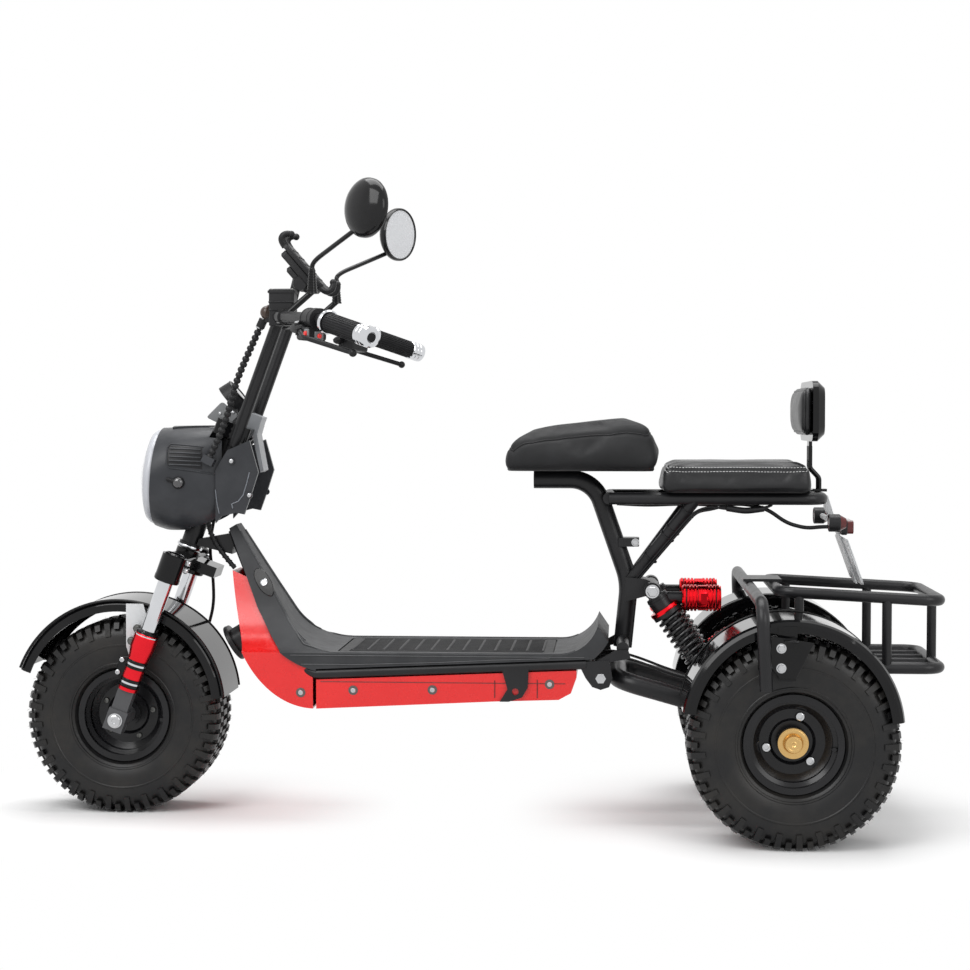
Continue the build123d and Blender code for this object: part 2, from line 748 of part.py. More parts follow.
leg_x = rear_axle_x - 22
flap_x = rear_axle_x + 12
leg_diameter = 16.0
guard_leg_x = rear_axle_x + 58
for hand, name in ((1, "left"), (-1, "right")):
    rear_guard_centre = (rear_axle_x + 3, hand * half_track, tyre_radius + 26)
    with BuildPart() as rear_guard:
        mudguard(rear_guard_centre, rear_mudguard_radius, 9, 175)
        # an inner lug to the basket's leg, an outer plate to the guard bar's leg
        skirt_y = half_track - mudguard_half
        lug_y = basket_y + leg_diameter / 2 + face_gap
        skirt_z = tyre_radius + 26 + rear_mudguard_radius - guard_lip
        with BuildSketch(Plane(origin=(leg_x, hand * (lug_y + skirt_y + 1) / 2, skirt_z - 2))):
            Rectangle(24, skirt_y + 1 - lug_y)
        extrude(amount=18)
        outer_y = half_track + mudguard_half
        with BuildSketch(across(hand * (outer_y - 0.5))):
            with BuildLine():
                Polyline(*side([
                    (flap_x - 15, skirt_z + 12), (flap_x + 17, skirt_z + 12),
                    (flap_x + 17, skirt_z - 80), (flap_x - 13, skirt_z - 80),
                ]), close=True)
            make_face()
        extrude(amount=hand * 3.5)
        for z in (skirt_z - 35, skirt_z - 67):
            bolt(Vector(flap_x + 1, hand * (outer_y + 3), z), (0, hand, 0), 7, 5)
        hold_y = guard_y - guard_diameter / 2 - face_gap
        with BuildSketch(Plane(origin=((flap_x + guard_leg_x) / 2, hand * (outer_y + 1 + hold_y) / 2,
                                       skirt_z - 58))):
            Rectangle(guard_leg_x - flap_x + 12, hold_y - outer_y - 1)
        extrude(amount=14)
    save(rear_guard, f"rear_mudguard_{name}")

# ---------------------------------------------------------------- main frame
rail_y = deck_half - rail_diameter / 2
rail_front = (front_axle_x - 372, deck_height - 38)
pivot_x = rear_axle_x + 327
pivot_z = deck_height - 42
rail_back = (pivot_x + 26, deck_height - 17)
rail_rise = (rail_back[1] - rail_front[1]) / (rail_back[0] - rail_front[0])
shield_top_x = front_axle_x - 198
rail_points = [
    (shield_top_x, 13, shield_height - 12),
    (front_axle_x - 240, 31, deck_height + 115),
    (front_axle_x - 280, 66, deck_height + 21),
    (front_axle_x - 324, rail_y - 15, deck_height - 23),
    (rail_front[0], rail_y, rail_front[1]),
    (rail_back[0], rail_y, rail_back[1]),
]


def rail_height(x):
    """The height of the floor rails' middle line."""
    return rail_front[1] + rail_rise * (x - rail_front[0])


ear_half = 17.0
stand_x = front_axle_x - 731
with BuildPart() as main_frame:
    both_sides(rail_points, rail_diameter, 20)
    for x in (rail_front[0] - 20, (rail_front[0] + rail_back[0]) / 2, rail_back[0]):
        round_tube([(x, -rail_y, rail_height(x)), (x, rail_y, rail_height(x))], rail_diameter)
    for hand in (1, -1):
        with BuildSketch(across(hand * (deck_half - 3))):
            with BuildLine():
                Polyline(*side([
                    (rail_back[0] + 15, rail_back[1] + 4), (pivot_x + 27, pivot_z + 1),
                    (pivot_x + 15, pivot_z - 15), (pivot_x, pivot_z - 20), (pivot_x - 15, pivot_z - 15),
                    (pivot_x - 21, pivot_z + 1), (pivot_x - 15, rail_back[1] + 8),
                ]), close=True)
            make_face()
            with Locations((-pivot_x, pivot_z)):
                Circle(8, mode=Mode.SUBTRACT)
        extrude(amount=-hand * 8)
    # the stand's bracket hangs under the left rail
    stand_z = rail_height(stand_x) - 44
    with BuildSketch(across(deck_half - 5.5)):
        with BuildLine():
            Polyline(*side([
                (stand_x + 25, stand_z + 43), (stand_x - 24, stand_z + 43), (stand_x - 22, stand_z + 7),
                (stand_x - 12, stand_z - 10), (stand_x + 12, stand_z - 18), (stand_x + 28, stand_z - 18),
                (stand_x + 14, stand_z + 4),
            ]), close=True)
        make_face()
        with Locations((-stand_x, stand_z)):
            Circle(6, mode=Mode.SUBTRACT)
    extrude(amount=5)
    # the neck: a box plate from the rails' tops to the head tube
    with BuildSketch(across(-19)):
        with BuildLine():
            Polyline(*side([
                (front_axle_x - 130, 494), (front_axle_x - 135, 506), (shield_top_x + 6, 516),
                (shield_top_x - 2, 500), (shield_top_x + 1, 478),
            ]), close=True)
        make_face()
    extrude(amount=38)
    with BuildSketch(steer_level(head_low)):
        Circle(head_tube_diameter / 2)
    extrude(amount=head_high - head_low)
    for up in (head_low, head_high - 10):
        with BuildSketch(steer_level(up)):
            Circle(head_tube_diameter / 2 + 3)
        extrude(amount=10)
    with BuildSketch(steer_level(head_low)):
        Circle(steerer_diameter / 2 + bearing_gap)
    extrude(amount=head_high - head_low, mode=Mode.SUBTRACT)
    # a cross tube carries the seat column's foot
    foot_x = rear_axle_x + 288
    foot_z = deck_height
    for hand in (1, -1):
        with BuildSketch(across(hand * (deck_half - 11))):
            with BuildLine():
                Polyline(*side([
                    (pivot_x + 12, rail_back[1] + 4), (pivot_x - 14, rail_back[1] + 4),
                    (foot_x - 14, foot_z - 6), (foot_x - 10, foot_z + 9), (foot_x + 12, foot_z + 9),
                ]), close=True)
            make_face()
        extrude(amount=hand * 6)
save(main_frame, "main_frame")

# ---------------------------------------------------------------- seat frame
rack_front = rear_axle_x + 313
rack_back = rear_axle_x - 69
column_lean = 12.0
column_knee = (foot_x - column_lean, deck_height + 120)
column_top_x = rear_axle_x + 342
saddle_front = rear_axle_x + 452
shock_y = 76.0
shock_pin = 12.0
shock_top = Vector(rear_axle_x + 235, 0, rack_height - 166)
shock_low = Vector(rear_axle_x + 116, 0, tyre_radius + 68)
with BuildPart() as seat_frame:
    round_tube([(foot_x, 0, foot_z + 0.2), (column_knee[0], 0, column_knee[1]),
                (column_top_x, 0, seat_tube_height), (saddle_front, 0, seat_tube_height)],
               column_diameter, [120, 60])
    round_tube([(rack_front, rack_y, rack_height), (rack_back, rack_y, rack_height),
                (rack_back, -rack_y, rack_height), (rack_front, -rack_y, rack_height)],
               rack_diameter, 30)
    round_tube([(rack_front, rack_y, rack_height), (rack_front, -rack_y, rack_height)], rack_diameter)
    both_sides([(foot_x - 14, 12, deck_height + 124), (foot_x - 131, rack_y, rack_height)],
               rack_diameter)
    # the foot's cross tube sits in the ears of the main frame
    round_tube([(foot_x, 11 - deck_half, foot_z + 12), (foot_x, deck_half - 11, foot_z + 12)], 22)
    # the shocks' bracket and pin
    with BuildSketch(across(-30)):
        with BuildLine():
            Polyline(*side([
                (foot_x - 5, shock_top.Z + 20), (foot_x - 5, shock_top.Z - 25),
                (shock_top.X + 11, shock_top.Z - 15), (shock_top.X - 12, shock_top.Z - 8),
                (shock_top.X - 12, shock_top.Z + 8), (shock_top.X + 11, shock_top.Z + 16),
            ]), close=True)
        make_face()
    extrude(amount=60)
    round_tube([(shock_top.X, 22 - shock_y, shock_top.Z), (shock_top.X, shock_y - 22, shock_top.Z)], 26)
    round_tube([(shock_top.X, -shock_y - 18, shock_top.Z), (shock_top.X, shock_y + 18, shock_top.Z)],
               shock_pin)
    for hand in (1, -1):
        bolt(Vector(shock_top.X, hand * (shock_y + 17), shock_top.Z), (0, hand, 0), 10, 7)
    # a strap round the column
    with BuildSketch(Plane(origin=(column_knee[0] + 3, 0, column_knee[1] + 66))):
        RectangleRounded(column_diameter + 8, column_diameter + 8, 12)
    extrude(amount=16)
save(seat_frame, "seat_frame")

# ---------------------------------------------------------------- deck tray, shroud, battery
shield_foot_x = front_axle_x - 341.5
kick_x = rear_axle_x + 346
kick_length = 58.0
kick_depth = 28.0
lip_width = 28.0
mat_depth = 3.0
shield_length = (shield_height - deck_height) / sin(radians(shield_lean))
shield_way = Vector(cos(radians(shield_lean)), 0, sin(radians(shield_lean)))
kick_way = Vector(-cos(radians(kick_lean)), 0, sin(radians(kick_lean)))


def deck_run(depth, rear_depth, thin=1.0):
    """The side view of one of the tray's surfaces, lying a depth below and before its top."""
    foot = Vector(shield_foot_x + depth * tan(radians(shield_lean / 2)), 0, deck_height - depth)
    top = Vector(shield_foot_x, 0, deck_height) + shield_way * shield_length
    top += Vector(sin(radians(shield_lean)), 0, -cos(radians(shield_lean))) * depth * thin
    knee = foot + shield_way * shield_length * 0.5
    heel = Vector(kick_x - rear_depth * tan(radians(kick_lean / 2)), 0, deck_height - rear_depth)
    tip = heel + kick_way * (kick_length + rear_depth * 0.8)
    return top, knee, foot, heel, tip


def slab(top_depth, low_depth, thin=1.0):
    """The tray's body between two depths, across its whole width, added to the part being built."""
    upper = deck_run(top_depth, top_depth)
    lower = deck_run(low_depth, kick_depth if low_depth > kick_depth else low_depth, thin)
    with BuildSketch(across(-deck_half)) as outline:
        with BuildLine():
            start = FilletPolyline(*side([(p.X, p.Z) for p in (upper[0], upper[2], upper[3], upper[4])]),
                                   radius=[shield_bend + top_depth, kick_bend + top_depth])
            end = FilletPolyline(
                *side([(p.X, p.Z) for p in (lower[0], lower[1], lower[2], lower[3], lower[4])]),
                radius=[60, shield_bend + low_depth, kick_bend + min(low_depth, kick_depth)])
            Line(start @ 0, end @ 0)
            Line(start @ 1, end @ 1)
        make_face()
    extrude(outline.sketch, amount=2 * deck_half)


taper = [
    (deck_half, deck_height), (deck_half - 40, deck_height + 19), (deck_half - 69, deck_height + 57),
    (deck_half - 88, deck_height + 114), (deck_half - 100, deck_height + 161),
    (deck_half - 116, shield_height),
]
with BuildPart() as rail_room:
    both_sides(rail_points, rail_diameter + 2 * face_gap, 20)


def cut_taper(inset):
    """Narrow the part being built as it climbs: full width at the floor, slim at the top."""
    edge = [(y - inset, z) for y, z in taper]
    for hand in (1, -1):
        with BuildSketch(front_view(shield_foot_x - 90)) as outside:
            with BuildLine():
                Polyline((hand * edge[-1][0], edge[-1][1]), (hand * edge[-1][0], edge[-1][1] + 30),
                         (hand * (deck_half + 20), edge[-1][1] + 30),
                         (hand * (deck_half + 20), edge[0][1]), (hand * edge[0][0], edge[0][1]))
                Spline(*[(hand * y, z) for y, z in edge])
            make_face()
        extrude(outside.sketch, amount=400, mode=Mode.SUBTRACT)


def below_rails(far):
    """Clear the part being built from the rails' top line down."""
    low = deck_height - 120
    with BuildSketch(across(-deck_half - 1)) as under:
        with BuildLine():
            Polyline(*side([
                (rail_front[0], rail_height(rail_front[0]) + rail_diameter / 2 + face_gap),
                (rail_front[0], low), (far, low),
                (far, rail_height(far) + rail_diameter / 2 + face_gap),
            ]), close=True)
        make_face()
    extrude(under.sketch, amount=2 * deck_half + 2, mode=Mode.SUBTRACT)


with BuildPart() as tray:
    slab(0, deck_depth, 0.4)
    cut_taper(0)
    below_rails(kick_x - 60)
    # the mat lies in a shallow recess inside the lip
    with BuildSketch(Plane(origin=((shield_foot_x + kick_x) / 2, 0, deck_height - mat_depth))):
        RectangleRounded(shield_foot_x - kick_x - 130, deck_width - 2 * lip_width, 16)
    extrude(amount=mat_depth + 10, mode=Mode.SUBTRACT)
    # the tip slopes forward at the back
    with BuildSketch(across(-deck_half - 1)):
        with BuildLine():
            Polyline(*side([
                (kick_x - 8, deck_height + 60), (kick_x - 34, deck_height + 22),
                (kick_x - 80, deck_height + 22), (kick_x - 80, deck_height + 90),
                (kick_x - 8, deck_height + 90),
            ]), close=True)
        make_face()
    extrude(amount=2 * deck_half + 2, mode=Mode.SUBTRACT)
    # room for the column's foot
    with BuildSketch(Plane(origin=(foot_x, 0, deck_height - 30))):
        Circle(column_diameter / 2 + 8)
    extrude(amount=120, mode=Mode.SUBTRACT)
    add(rail_room.part, mode=Mode.SUBTRACT)
save(tray, "deck_tray")

pan_half = deck_half - 6
pan_low = deck_height - pan_depth
seam_x = front_axle_x - 366
with BuildPart() as battery:
    with BuildSketch(Plane(origin=((seam_x + rear_axle_x + 502) / 2, 0, pan_low + 21))):
        Rectangle(290, 2 * pan_half - 20)
    extrude(amount=33)
save(battery, "battery_box")

belly_points = [
    (seam_x - 6, pan_low), (rear_axle_x + 517, pan_low + 16), (rear_axle_x + 402, pan_low + 20),
    (rear_axle_x + 380, pan_low + 32), (rear_axle_x + 370, pan_low + 60),
]
with BuildPart() as belly:
    with BuildSketch(across(-pan_half)):
        with BuildLine():
            Polyline(*side([
                *belly_points, (rear_axle_x + 370, rail_height(rear_axle_x + 370) - 10.5),
                (seam_x - 6, rail_height(seam_x - 6) - 10.5),
            ]), close=True)
        make_face()
    extrude(amount=2 * pan_half)
    with BuildSketch(across(-pan_half + panel_wall)):
        with BuildLine():
            Polyline(*side([
                (seam_x, pan_low + panel_wall), *[(x + 1, z + panel_wall) for x, z in belly_points[1:3]],
                (belly_points[3][0] + panel_wall, belly_points[3][1] + panel_wall),
                (belly_points[4][0] + panel_wall, pan_low + 100), (seam_x, pan_low + 100),
            ]), close=True)
        make_face()
    extrude(amount=2 * (pan_half - panel_wall), mode=Mode.SUBTRACT)
save(belly, "belly_pan")

shroud_face = [
    (front_axle_x - 202, deck_height + 140), (front_axle_x - 222, deck_height + 39),
    (front_axle_x - 253, deck_height - 30), (front_axle_x - 299, deck_height - 78), (seam_x, pan_low),
]


def shroud_body(inset):
    """The shroud before the shield as a filled form, or the space inside it, to be worked on."""
    face = [(x - inset, z + inset * 0.8) for x, z in shroud_face[:-1]]
    face.append((seam_x - inset * 3, pan_low + inset))
    back = deck_run(deck_depth, deck_depth)
    with BuildSketch(across(-deck_half)) as outline:
        with BuildLine():
            Spline(*side(face))
            Polyline(*side([face[-1], (seam_x - inset * 3, deck_height - deck_depth + 10),
                            (back[2].X - 20, deck_height - 20), (back[1].X - 20, deck_height + 110),
                            face[0]]))
        make_face()
    extrude(outline.sketch, amount=2 * deck_half)
    cut_taper(6 + inset)
    for hand in (1, -1):
        with BuildSketch(front_view(0)) as outside:
            with Locations((hand * (pan_half - inset + 20), deck_height - 100)):
                Rectangle(40, 300)
        extrude(outside.sketch, amount=600, mode=Mode.SUBTRACT)


with BuildPart() as tray_room:
    slab(-10, deck_depth + face_gap, 0.42)
with BuildPart() as shroud_outer:
    shroud_body(0)
with BuildPart() as shroud_inner:
    shroud_body(panel_wall)
with BuildPart() as shroud:
    add(shroud_outer.part)
    add(shroud_inner.part, mode=Mode.SUBTRACT)
    add(tray_room.part, mode=Mode.SUBTRACT)
    add(rail_room.part, mode=Mode.SUBTRACT)
save(shroud, "front_shroud")

# ---------------------------------------------------------------- horn
horn_radius = 34.0
horn_depth = 18.0
horn_lean = 31.0
horn_face = Vector(front_axle_x - 196, 0, deck_height + 1)
horn_way = Vector(cos(radians(horn_lean)), 0, -sin(radians(horn_lean)))
with BuildPart() as horn:
    with BuildSketch(Plane(origin=horn_face, z_dir=-horn_way)):
        Circle(horn_radius)
    extrude(amount=7)
    with BuildSketch(Plane(origin=horn_face - horn_way * 7, z_dir=-horn_way)):
        Circle(horn_radius - 9)
    extrude(amount=horn_depth)
    with BuildSketch(Plane(origin=horn_face - horn_way * 12, x_dir=(0, 1, 0), z_dir=-horn_way)):
        RectangleRounded(22, 50, 5)
    extrude(amount=50)
    add(Pos(0.35, 0, -0.2) * shroud_outer.part, mode=Mode.SUBTRACT)
save(horn, "horn")

# ---------------------------------------------------------------- swing arm and axle
swing_front = pivot_x - 30
swing_front_z = pivot_z - 5
housing_radius = 26.0
drum_radius = 62.0
drum_left = 40.0
drum_right = -70.0
pad_height = housing_radius
with BuildPart() as swing_arm:
    round_tube([
        (rear_axle_x, swing_y, tyre_radius), (swing_front, swing_y, swing_front_z),
        (swing_front, -swing_y, swing_front_z), (rear_axle_x, -swing_y, tyre_radius),
    ], swing_diameter, 40)
    round_tube([(pivot_x, 11.3 - deck_half, pivot_z), (pivot_x, deck_half - 11.3, pivot_z)], 30)
    # lugs and pins for the lower ends of the shocks
    swing_rise = (swing_front_z - tyre_radius) / (swing_front - rear_axle_x)
    lug_z = tyre_radius + swing_rise * (shock_low.X - rear_axle_x)
    for hand in (1, -1):
        with BuildSketch(across(hand * (swing_y - 12))):
            with BuildLine():
                Polyline(*side([
                    (shock_low.X - 24, lug_z - 4), (shock_low.X + 24, lug_z + 4),
                    (shock_low.X + 13, shock_low.Z + 12), (shock_low.X - 13, shock_low.Z + 12),
                ]), close=True)
            make_face()
        extrude(amount=hand * 8)
        round_tube([(shock_low.X, hand * (shock_y - 19), shock_low.Z),
                    (shock_low.X, hand * (swing_y - 4), shock_low.Z)], shock_pin)
        bolt(Vector(shock_low.X, hand * (swing_y - 4), shock_low.Z), (0, hand, 0), 10, 7)
    with BuildSketch(axle_plane(rear_axle_x, -swing_y - 40)):
        Circle(housing_radius + 0.1)
    extrude(amount=2 * swing_y + 80, mode=Mode.SUBTRACT)
save(swing_arm, "swing_arm")

with BuildPart() as axle_housing:
    with BuildSketch(axle_plane(rear_axle_x, -housing_end)):
        Circle(housing_radius)
    extrude(amount=2 * housing_end)
    for start, end, radius in (
        (drum_right, drum_left, drum_radius), (-18, -10, drum_radius + 5),
        (drum_left - 1, drum_left + 16, 40), (drum_right + 1, drum_right - 16, 40),
    ):
        with BuildSketch(axle_plane(rear_axle_x, start)):
            Circle(radius)
        extrude(amount=end - start)
    for hand in (1, -1):
        with BuildSketch(axle_plane(rear_axle_x, hand * housing_end, -hand)):
            Circle(housing_radius + 10)
        extrude(amount=8)
        with BuildSketch(Plane(origin=(leg_x, hand * basket_y, tyre_radius))):
            Rectangle(28, 24)
        extrude(amount=pad_height)
    # the brake cylinder's bracket
    with BuildSketch(Plane(origin=(rear_axle_x + 40, 20, tyre_radius + 30))):
        Rectangle(36, 16)
    extrude(amount=90)
    with BuildSketch(axle_plane(rear_axle_x, -housing_end)):
        Circle(half_shaft_radius + bearing_gap)
    extrude(amount=2 * housing_end, mode=Mode.SUBTRACT)
save(axle_housing, "rear_axle_housing")

# ---------------------------------------------------------------- shocks
eye_radius = 15.0
eye_half = 15.0
body_radius = 20.0
rod_radius = 8.0
spring_start = 52.0
spring_length = 100.0
spring_radius = 23.0
spring_wire = 7.0
spring_turns = 8
reservoir_radius = 20.0
reservoir_z = shock_top.Z - 13
reservoir_front = shock_top.X - 56
reservoir_back = shock_top.X - 116
with BuildPart() as dampers:
    for hand in (1, -1):
        top = shock_top + Vector(0, hand * shock_y, 0)
        low = shock_low + Vector(0, hand * shock_y, 0)
        way = (low - top).normalized()
        for centre in (top, low):
            with BuildSketch(Plane(origin=centre - Vector(0, eye_half, 0), z_dir=(0, 1, 0))):
                Circle(eye_radius)
            extrude(amount=2 * eye_half)
        with BuildSketch(Plane(origin=top + way * 12, z_dir=way)):
            Circle(body_radius)
        extrude(amount=spring_start - 20)
        with BuildSketch(Plane(origin=top + way * (spring_start - 8), z_dir=way)):
            Circle(spring_radius + 5)
        extrude(amount=8)
        with BuildSketch(Plane(origin=top + way * spring_start, z_dir=way)):
            Circle(spring_radius - spring_wire / 2 - 3)
        extrude(amount=spring_length * 0.55)
        with BuildSketch(Plane(origin=top + way * (spring_start + 10), z_dir=way)):
            Circle(rod_radius)
        extrude(amount=(low - top).length - spring_start - 10)
        with BuildSketch(Plane(origin=top + way * (spring_start + spring_length), z_dir=way)):
            Circle(spring_radius + 5)
        extrude(amount=7)
        neck_y = hand * shock_y
        round_tube([(top.X - 12, neck_y, reservoir_z), (reservoir_front + 1, neck_y, reservoir_z)], 22)
        round_tube([(reservoir_front + 2, neck_y, reservoir_z), (reservoir_back, neck_y, reservoir_z)],
                   2 * reservoir_radius)
        for share in (0.0, 0.42, 0.88):
            x = reservoir_front + (reservoir_back - reservoir_front) * share
            round_tube([(x, neck_y, reservoir_z), (x - 6, neck_y, reservoir_z)],
                       2 * reservoir_radius + 5)
        for centre in (top, low):
            with BuildSketch(Plane(origin=centre - Vector(0, eye_half + 1, 0), z_dir=(0, 1, 0))):
                Circle(shock_pin / 2 + 0.2)
            extrude(amount=2 * eye_half + 2, mode=Mode.SUBTRACT)
save(dampers, "shock_dampers")

with BuildPart() as springs:
    for hand in (1, -1):
        top = shock_top + Vector(0, hand * shock_y, 0)
        way = (shock_low - shock_top).normalized()
        start = top + way * (spring_start + spring_wire / 2 + face_gap)
        rise = spring_length - spring_wire - 2 * face_gap
        with BuildLine() as coil:
            Helix(rise / spring_turns, rise, spring_radius, center=tuple(start), direction=tuple(way))
        with BuildSketch(Plane(origin=coil.line @ 0, z_dir=coil.line % 0)) as wire:
            Circle(spring_wire / 2)
        sweep(wire.sketch, path=coil.line, is_frenet=True)
save(springs, "shock_springs")

# ---------------------------------------------------------------- guard bar and basket
guard_foot_z = guard_height - 144
with BuildPart() as guard_bar:
    round_tube([
        (guard_leg_x - 7, guard_y, guard_foot_z), (guard_leg_x, guard_y, guard_height),
        (guard_leg_x, -guard_y, guard_height), (guard_leg_x - 7, -guard_y, guard_foot_z),
    ], guard_diameter, 35)
save(guard_bar, "guard_bar")

basket_front = rear_axle_x + 13
basket_back = rear_axle_x - 270
basket_low_front = rear_axle_x - 141
basket_low_z = tyre_radius + 111
basket_post_x = basket_low_front - 34
basket_gap = 60
basket_front_z = guard_height + 2
basket_back_z = guard_height - 13
basket_slope = (basket_front_z - basket_back_z) / (basket_front - basket_back)


def rim_height(x):
    """The height of the basket's upper rail at a place along it."""
    return basket_front_z + basket_slope * (x - basket_front)


with BuildPart() as basket:
    for start_x, front_z, back_z in (
        (basket_front, basket_front_z, basket_back_z), (basket_low_front, basket_low_z, basket_low_z),
    ):
        both_sides([(start_x, 0, front_z), (start_x, basket_y, front_z), (basket_back, basket_y, back_z),
                    (basket_back, 0, back_z)], basket_tube, 30)
    both_sides([(basket_post_x, basket_y, basket_low_z),
                (basket_post_x, basket_y, rim_height(basket_post_x))], basket_tube - 3)
    round_tube([(basket_back, basket_gap / 2, basket_low_z), (basket_back, basket_gap / 2, basket_back_z)],
               basket_tube - 3)
    for y in (-1.5 * basket_gap, -basket_gap / 2, basket_gap / 2, 1.5 * basket_gap):
        round_tube([(basket_low_front, y, basket_low_z), (basket_back, y, basket_low_z)], 10)
    both_sides([(leg_x, basket_y, tyre_radius + pad_height + 0.1), (leg_x, basket_y, rim_height(leg_x))],
               leg_diameter)
    with BuildSketch(Plane(origin=((guard_leg_x + basket_front) / 2, 0,
                                   guard_height + guard_diameter / 2 + 0.1))):
        Rectangle(guard_leg_x - basket_front + 24, 90)
    extrude(amount=5)
save(basket, "rear_basket")

# ---------------------------------------------------------------- seats
seat_low = seat_tube_height + column_diameter / 2 + face_gap
rider_half = rider_seat_width / 2
with BuildPart() as rider_seat:
    with BuildSketch(across(-rider_half)):
        with BuildLine():
            Polyline(*side([
                (rear_axle_x + 504, seat_low), (rear_axle_x + 506, seat_low + 28),
                (rear_axle_x + 484, seat_low + 66), (rear_axle_x + 418, seat_low + 79),
                (rear_axle_x + 277, seat_low + 94), (rear_axle_x + 234, seat_low + 86),
                (rear_axle_x + 220, seat_low + 16), (rear_axle_x + 246, seat_low),
            ]), close=True)
        make_face()
    extrude(amount=rider_seat_width)
    crown = [edge for edge in rider_seat.edges().filter_by(Plane.XZ)
             if edge.center().Z > seat_low + 30]
    fillet(crown, 14)
save(rider_seat, "rider_seat")

rack_top = rack_height + rack_diameter / 2 + face_gap
with BuildPart() as passenger_seat:
    with BuildSketch(across(-passenger_seat_width / 2)):
        with BuildLine():
            Polyline(*side([
                (rack_back + 290, rack_top), (rack_back + 288, rack_top + 50),
                (rack_back + 276, rack_top + 55), (rack_back + 25, rack_top + 55),
                (rack_back + 21, rack_top),
            ]), close=True)
        make_face()
    extrude(amount=passenger_seat_width)
    crown = [edge for edge in passenger_seat.edges().filter_by(Plane.XZ)
             if edge.center().Z > rack_top + 20]
    fillet(crown, 10)
save(passenger_seat, "passenger_seat")

rest_height = 98.0
rest_width = 240.0
rest_up = rack_height + 157
rest_front = rack_back + 49
with BuildPart() as backrest_pad:
    with BuildSketch(Plane(origin=(rest_front, 0, rest_up), z_dir=(-1, 0, 0))):
        RectangleRounded(rest_height, rest_width, 30)
    extrude(amount=26)
save(backrest_pad, "backrest_pad")

shell_x = rest_front - 26 - face_gap
with BuildPart() as backrest_frame:
    with BuildSketch(Plane(origin=(shell_x, 0, rest_up), z_dir=(-1, 0, 0))):
        RectangleRounded(rest_height + 10, rest_width + 10, 30)
    extrude(amount=10)
    with BuildSketch(Plane(origin=(shell_x - 10, 0, rest_up), z_dir=(-1, 0, 0))):
        RectangleRounded(rest_height + 10, rest_width + 10, 30)
    extrude(amount=12, taper=45)
    with BuildSketch(Plane(origin=(shell_x - 6, 0, rack_height + 54))):
        Rectangle(6, 34)
    extrude(amount=70)
    for hand in (1, -1):
        round_tube([(rack_back, hand * 12, rack_height + rack_diameter / 2 + 0.1),
                    (rack_back, hand * 12, rack_height + 36), (shell_x - 6, hand * 12, rack_height + 54),
                    (shell_x - 6, hand * 12, rack_height + 94)], 8, 12)
    with BuildSketch(Plane(origin=(rack_back, 0, rack_height + rack_diameter / 2 + 0.1))):
        Rectangle(26, 44)
    extrude(amount=5)
save(backrest_frame, "backrest_frame")

# ---------------------------------------------------------------- plate, lamps
plate_lean = 19.8
plate_top = (rack_back - 25, tyre_radius + 351)
bracket_back = rack_back - rack_diameter / 2
with BuildPart() as plate_bracket:
    with BuildSketch(across(-22)):
        with BuildLine():
            Polyline(*side([
                (bracket_back - 0.3, rack_height + 4), (bracket_back - 3.5, rack_height + 4),
                (plate_top[0] - 12, plate_top[1] - 12), (plate_top[0] - 44, plate_top[1] - 101),
                (plate_top[0] - 41, plate_top[1] - 101), (plate_top[0] - 9, plate_top[1] - 12),
                (bracket_back - 0.3, rack_height - 20),
            ]), close=True)
        make_face()
    extrude(amount=44)
    round_tube([(rack_back - 19, -118, plate_top[1] + 15), (rack_back - 19, 118, plate_top[1] + 15)], 10)
    for z in (rack_height - 6, rack_height - 24):
        bolt(Vector(bracket_back - 3, 0, z), (-1, 0, 0), 6, 4)
save(plate_bracket, "plate_bracket")

plate_middle = Vector(plate_top[0] - 29, 0, plate_top[1] - 58.2)
with BuildPart() as number_plate:
    with BuildSketch(Plane(origin=plate_middle, x_dir=(0, 1, 0),
                           z_dir=(-cos(radians(plate_lean)), 0, sin(radians(plate_lean))))):
        RectangleRounded(190, 84, 6)
    extrude(amount=2)
save(number_plate, "number_plate")

with BuildPart() as rear_lamps:
    with BuildSketch(Plane(origin=(plate_top[0] - 11.9, 0, plate_top[1] + 2), x_dir=(0, 1, 0),
                           z_dir=(-1, 0, 0))):
        RectangleRounded(80, 24, 6)
    extrude(amount=22)
    for hand in (1, -1):
        with BuildSketch(Plane(origin=(rack_back - 5, hand * 132, plate_top[1] + 15), z_dir=(-1, 0, 0))):
            Circle(14)
        extrude(amount=20)
        with BuildSketch(Plane(origin=(rack_back - 25, hand * 132, plate_top[1] + 15), z_dir=(-1, 0, 0))):
            Circle(14)
        extrude(amount=10, taper=30)
save(rear_lamps, "rear_lamps")

# ---------------------------------------------------------------- hoses and cables
riser_loom = cord("riser_loom", loom_points, loom_diameter)
save(riser_loom, "riser_loom")

harness_points = [
    (front_axle_x - 204, 28, deck_height + 144), (front_axle_x - 183, 25.3, deck_height + 167),
    (front_axle_x - 164, 25.3, deck_height + 194), (front_axle_x - 153, 27, deck_height + 225),
    (front_axle_x - 155, 29, deck_height + 257),
]
frame_harness = cord("frame_harness", harness_points, 11.0)
save(frame_harness, "frame_harness")

front_brake_hose = cord("front_brake_hose", brake_line, 6.0)
save(front_brake_hose, "front_brake_hose")

cable_end_x = rear_axle_x + 58.2
for name, near, points in (
    ("rear_brake_cable", 1, [(300, 52), (288, 56), (268, 58), (254, 56), (248, 48), (242, 28)]),
    ("rear_motor_cable", -1, [(298, -37), (284, -40), (264, -42), (250, -38), (240, -20), (234, 14)]),
):
    start = (rail_back[0] - rail_diameter / 2 - 0.2, points[0][1] - 2 * near, rail_back[1] + 1)
    stations = [pivot_x - 21, pivot_x - 70, pivot_x - 120, pivot_x - 170, pivot_x - 218, cable_end_x]
    route = [start] + [(x, y, z) for x, (z, y) in zip(stations, points)]
    cable = cord(name, route, 5.0)
    save(cable, name)

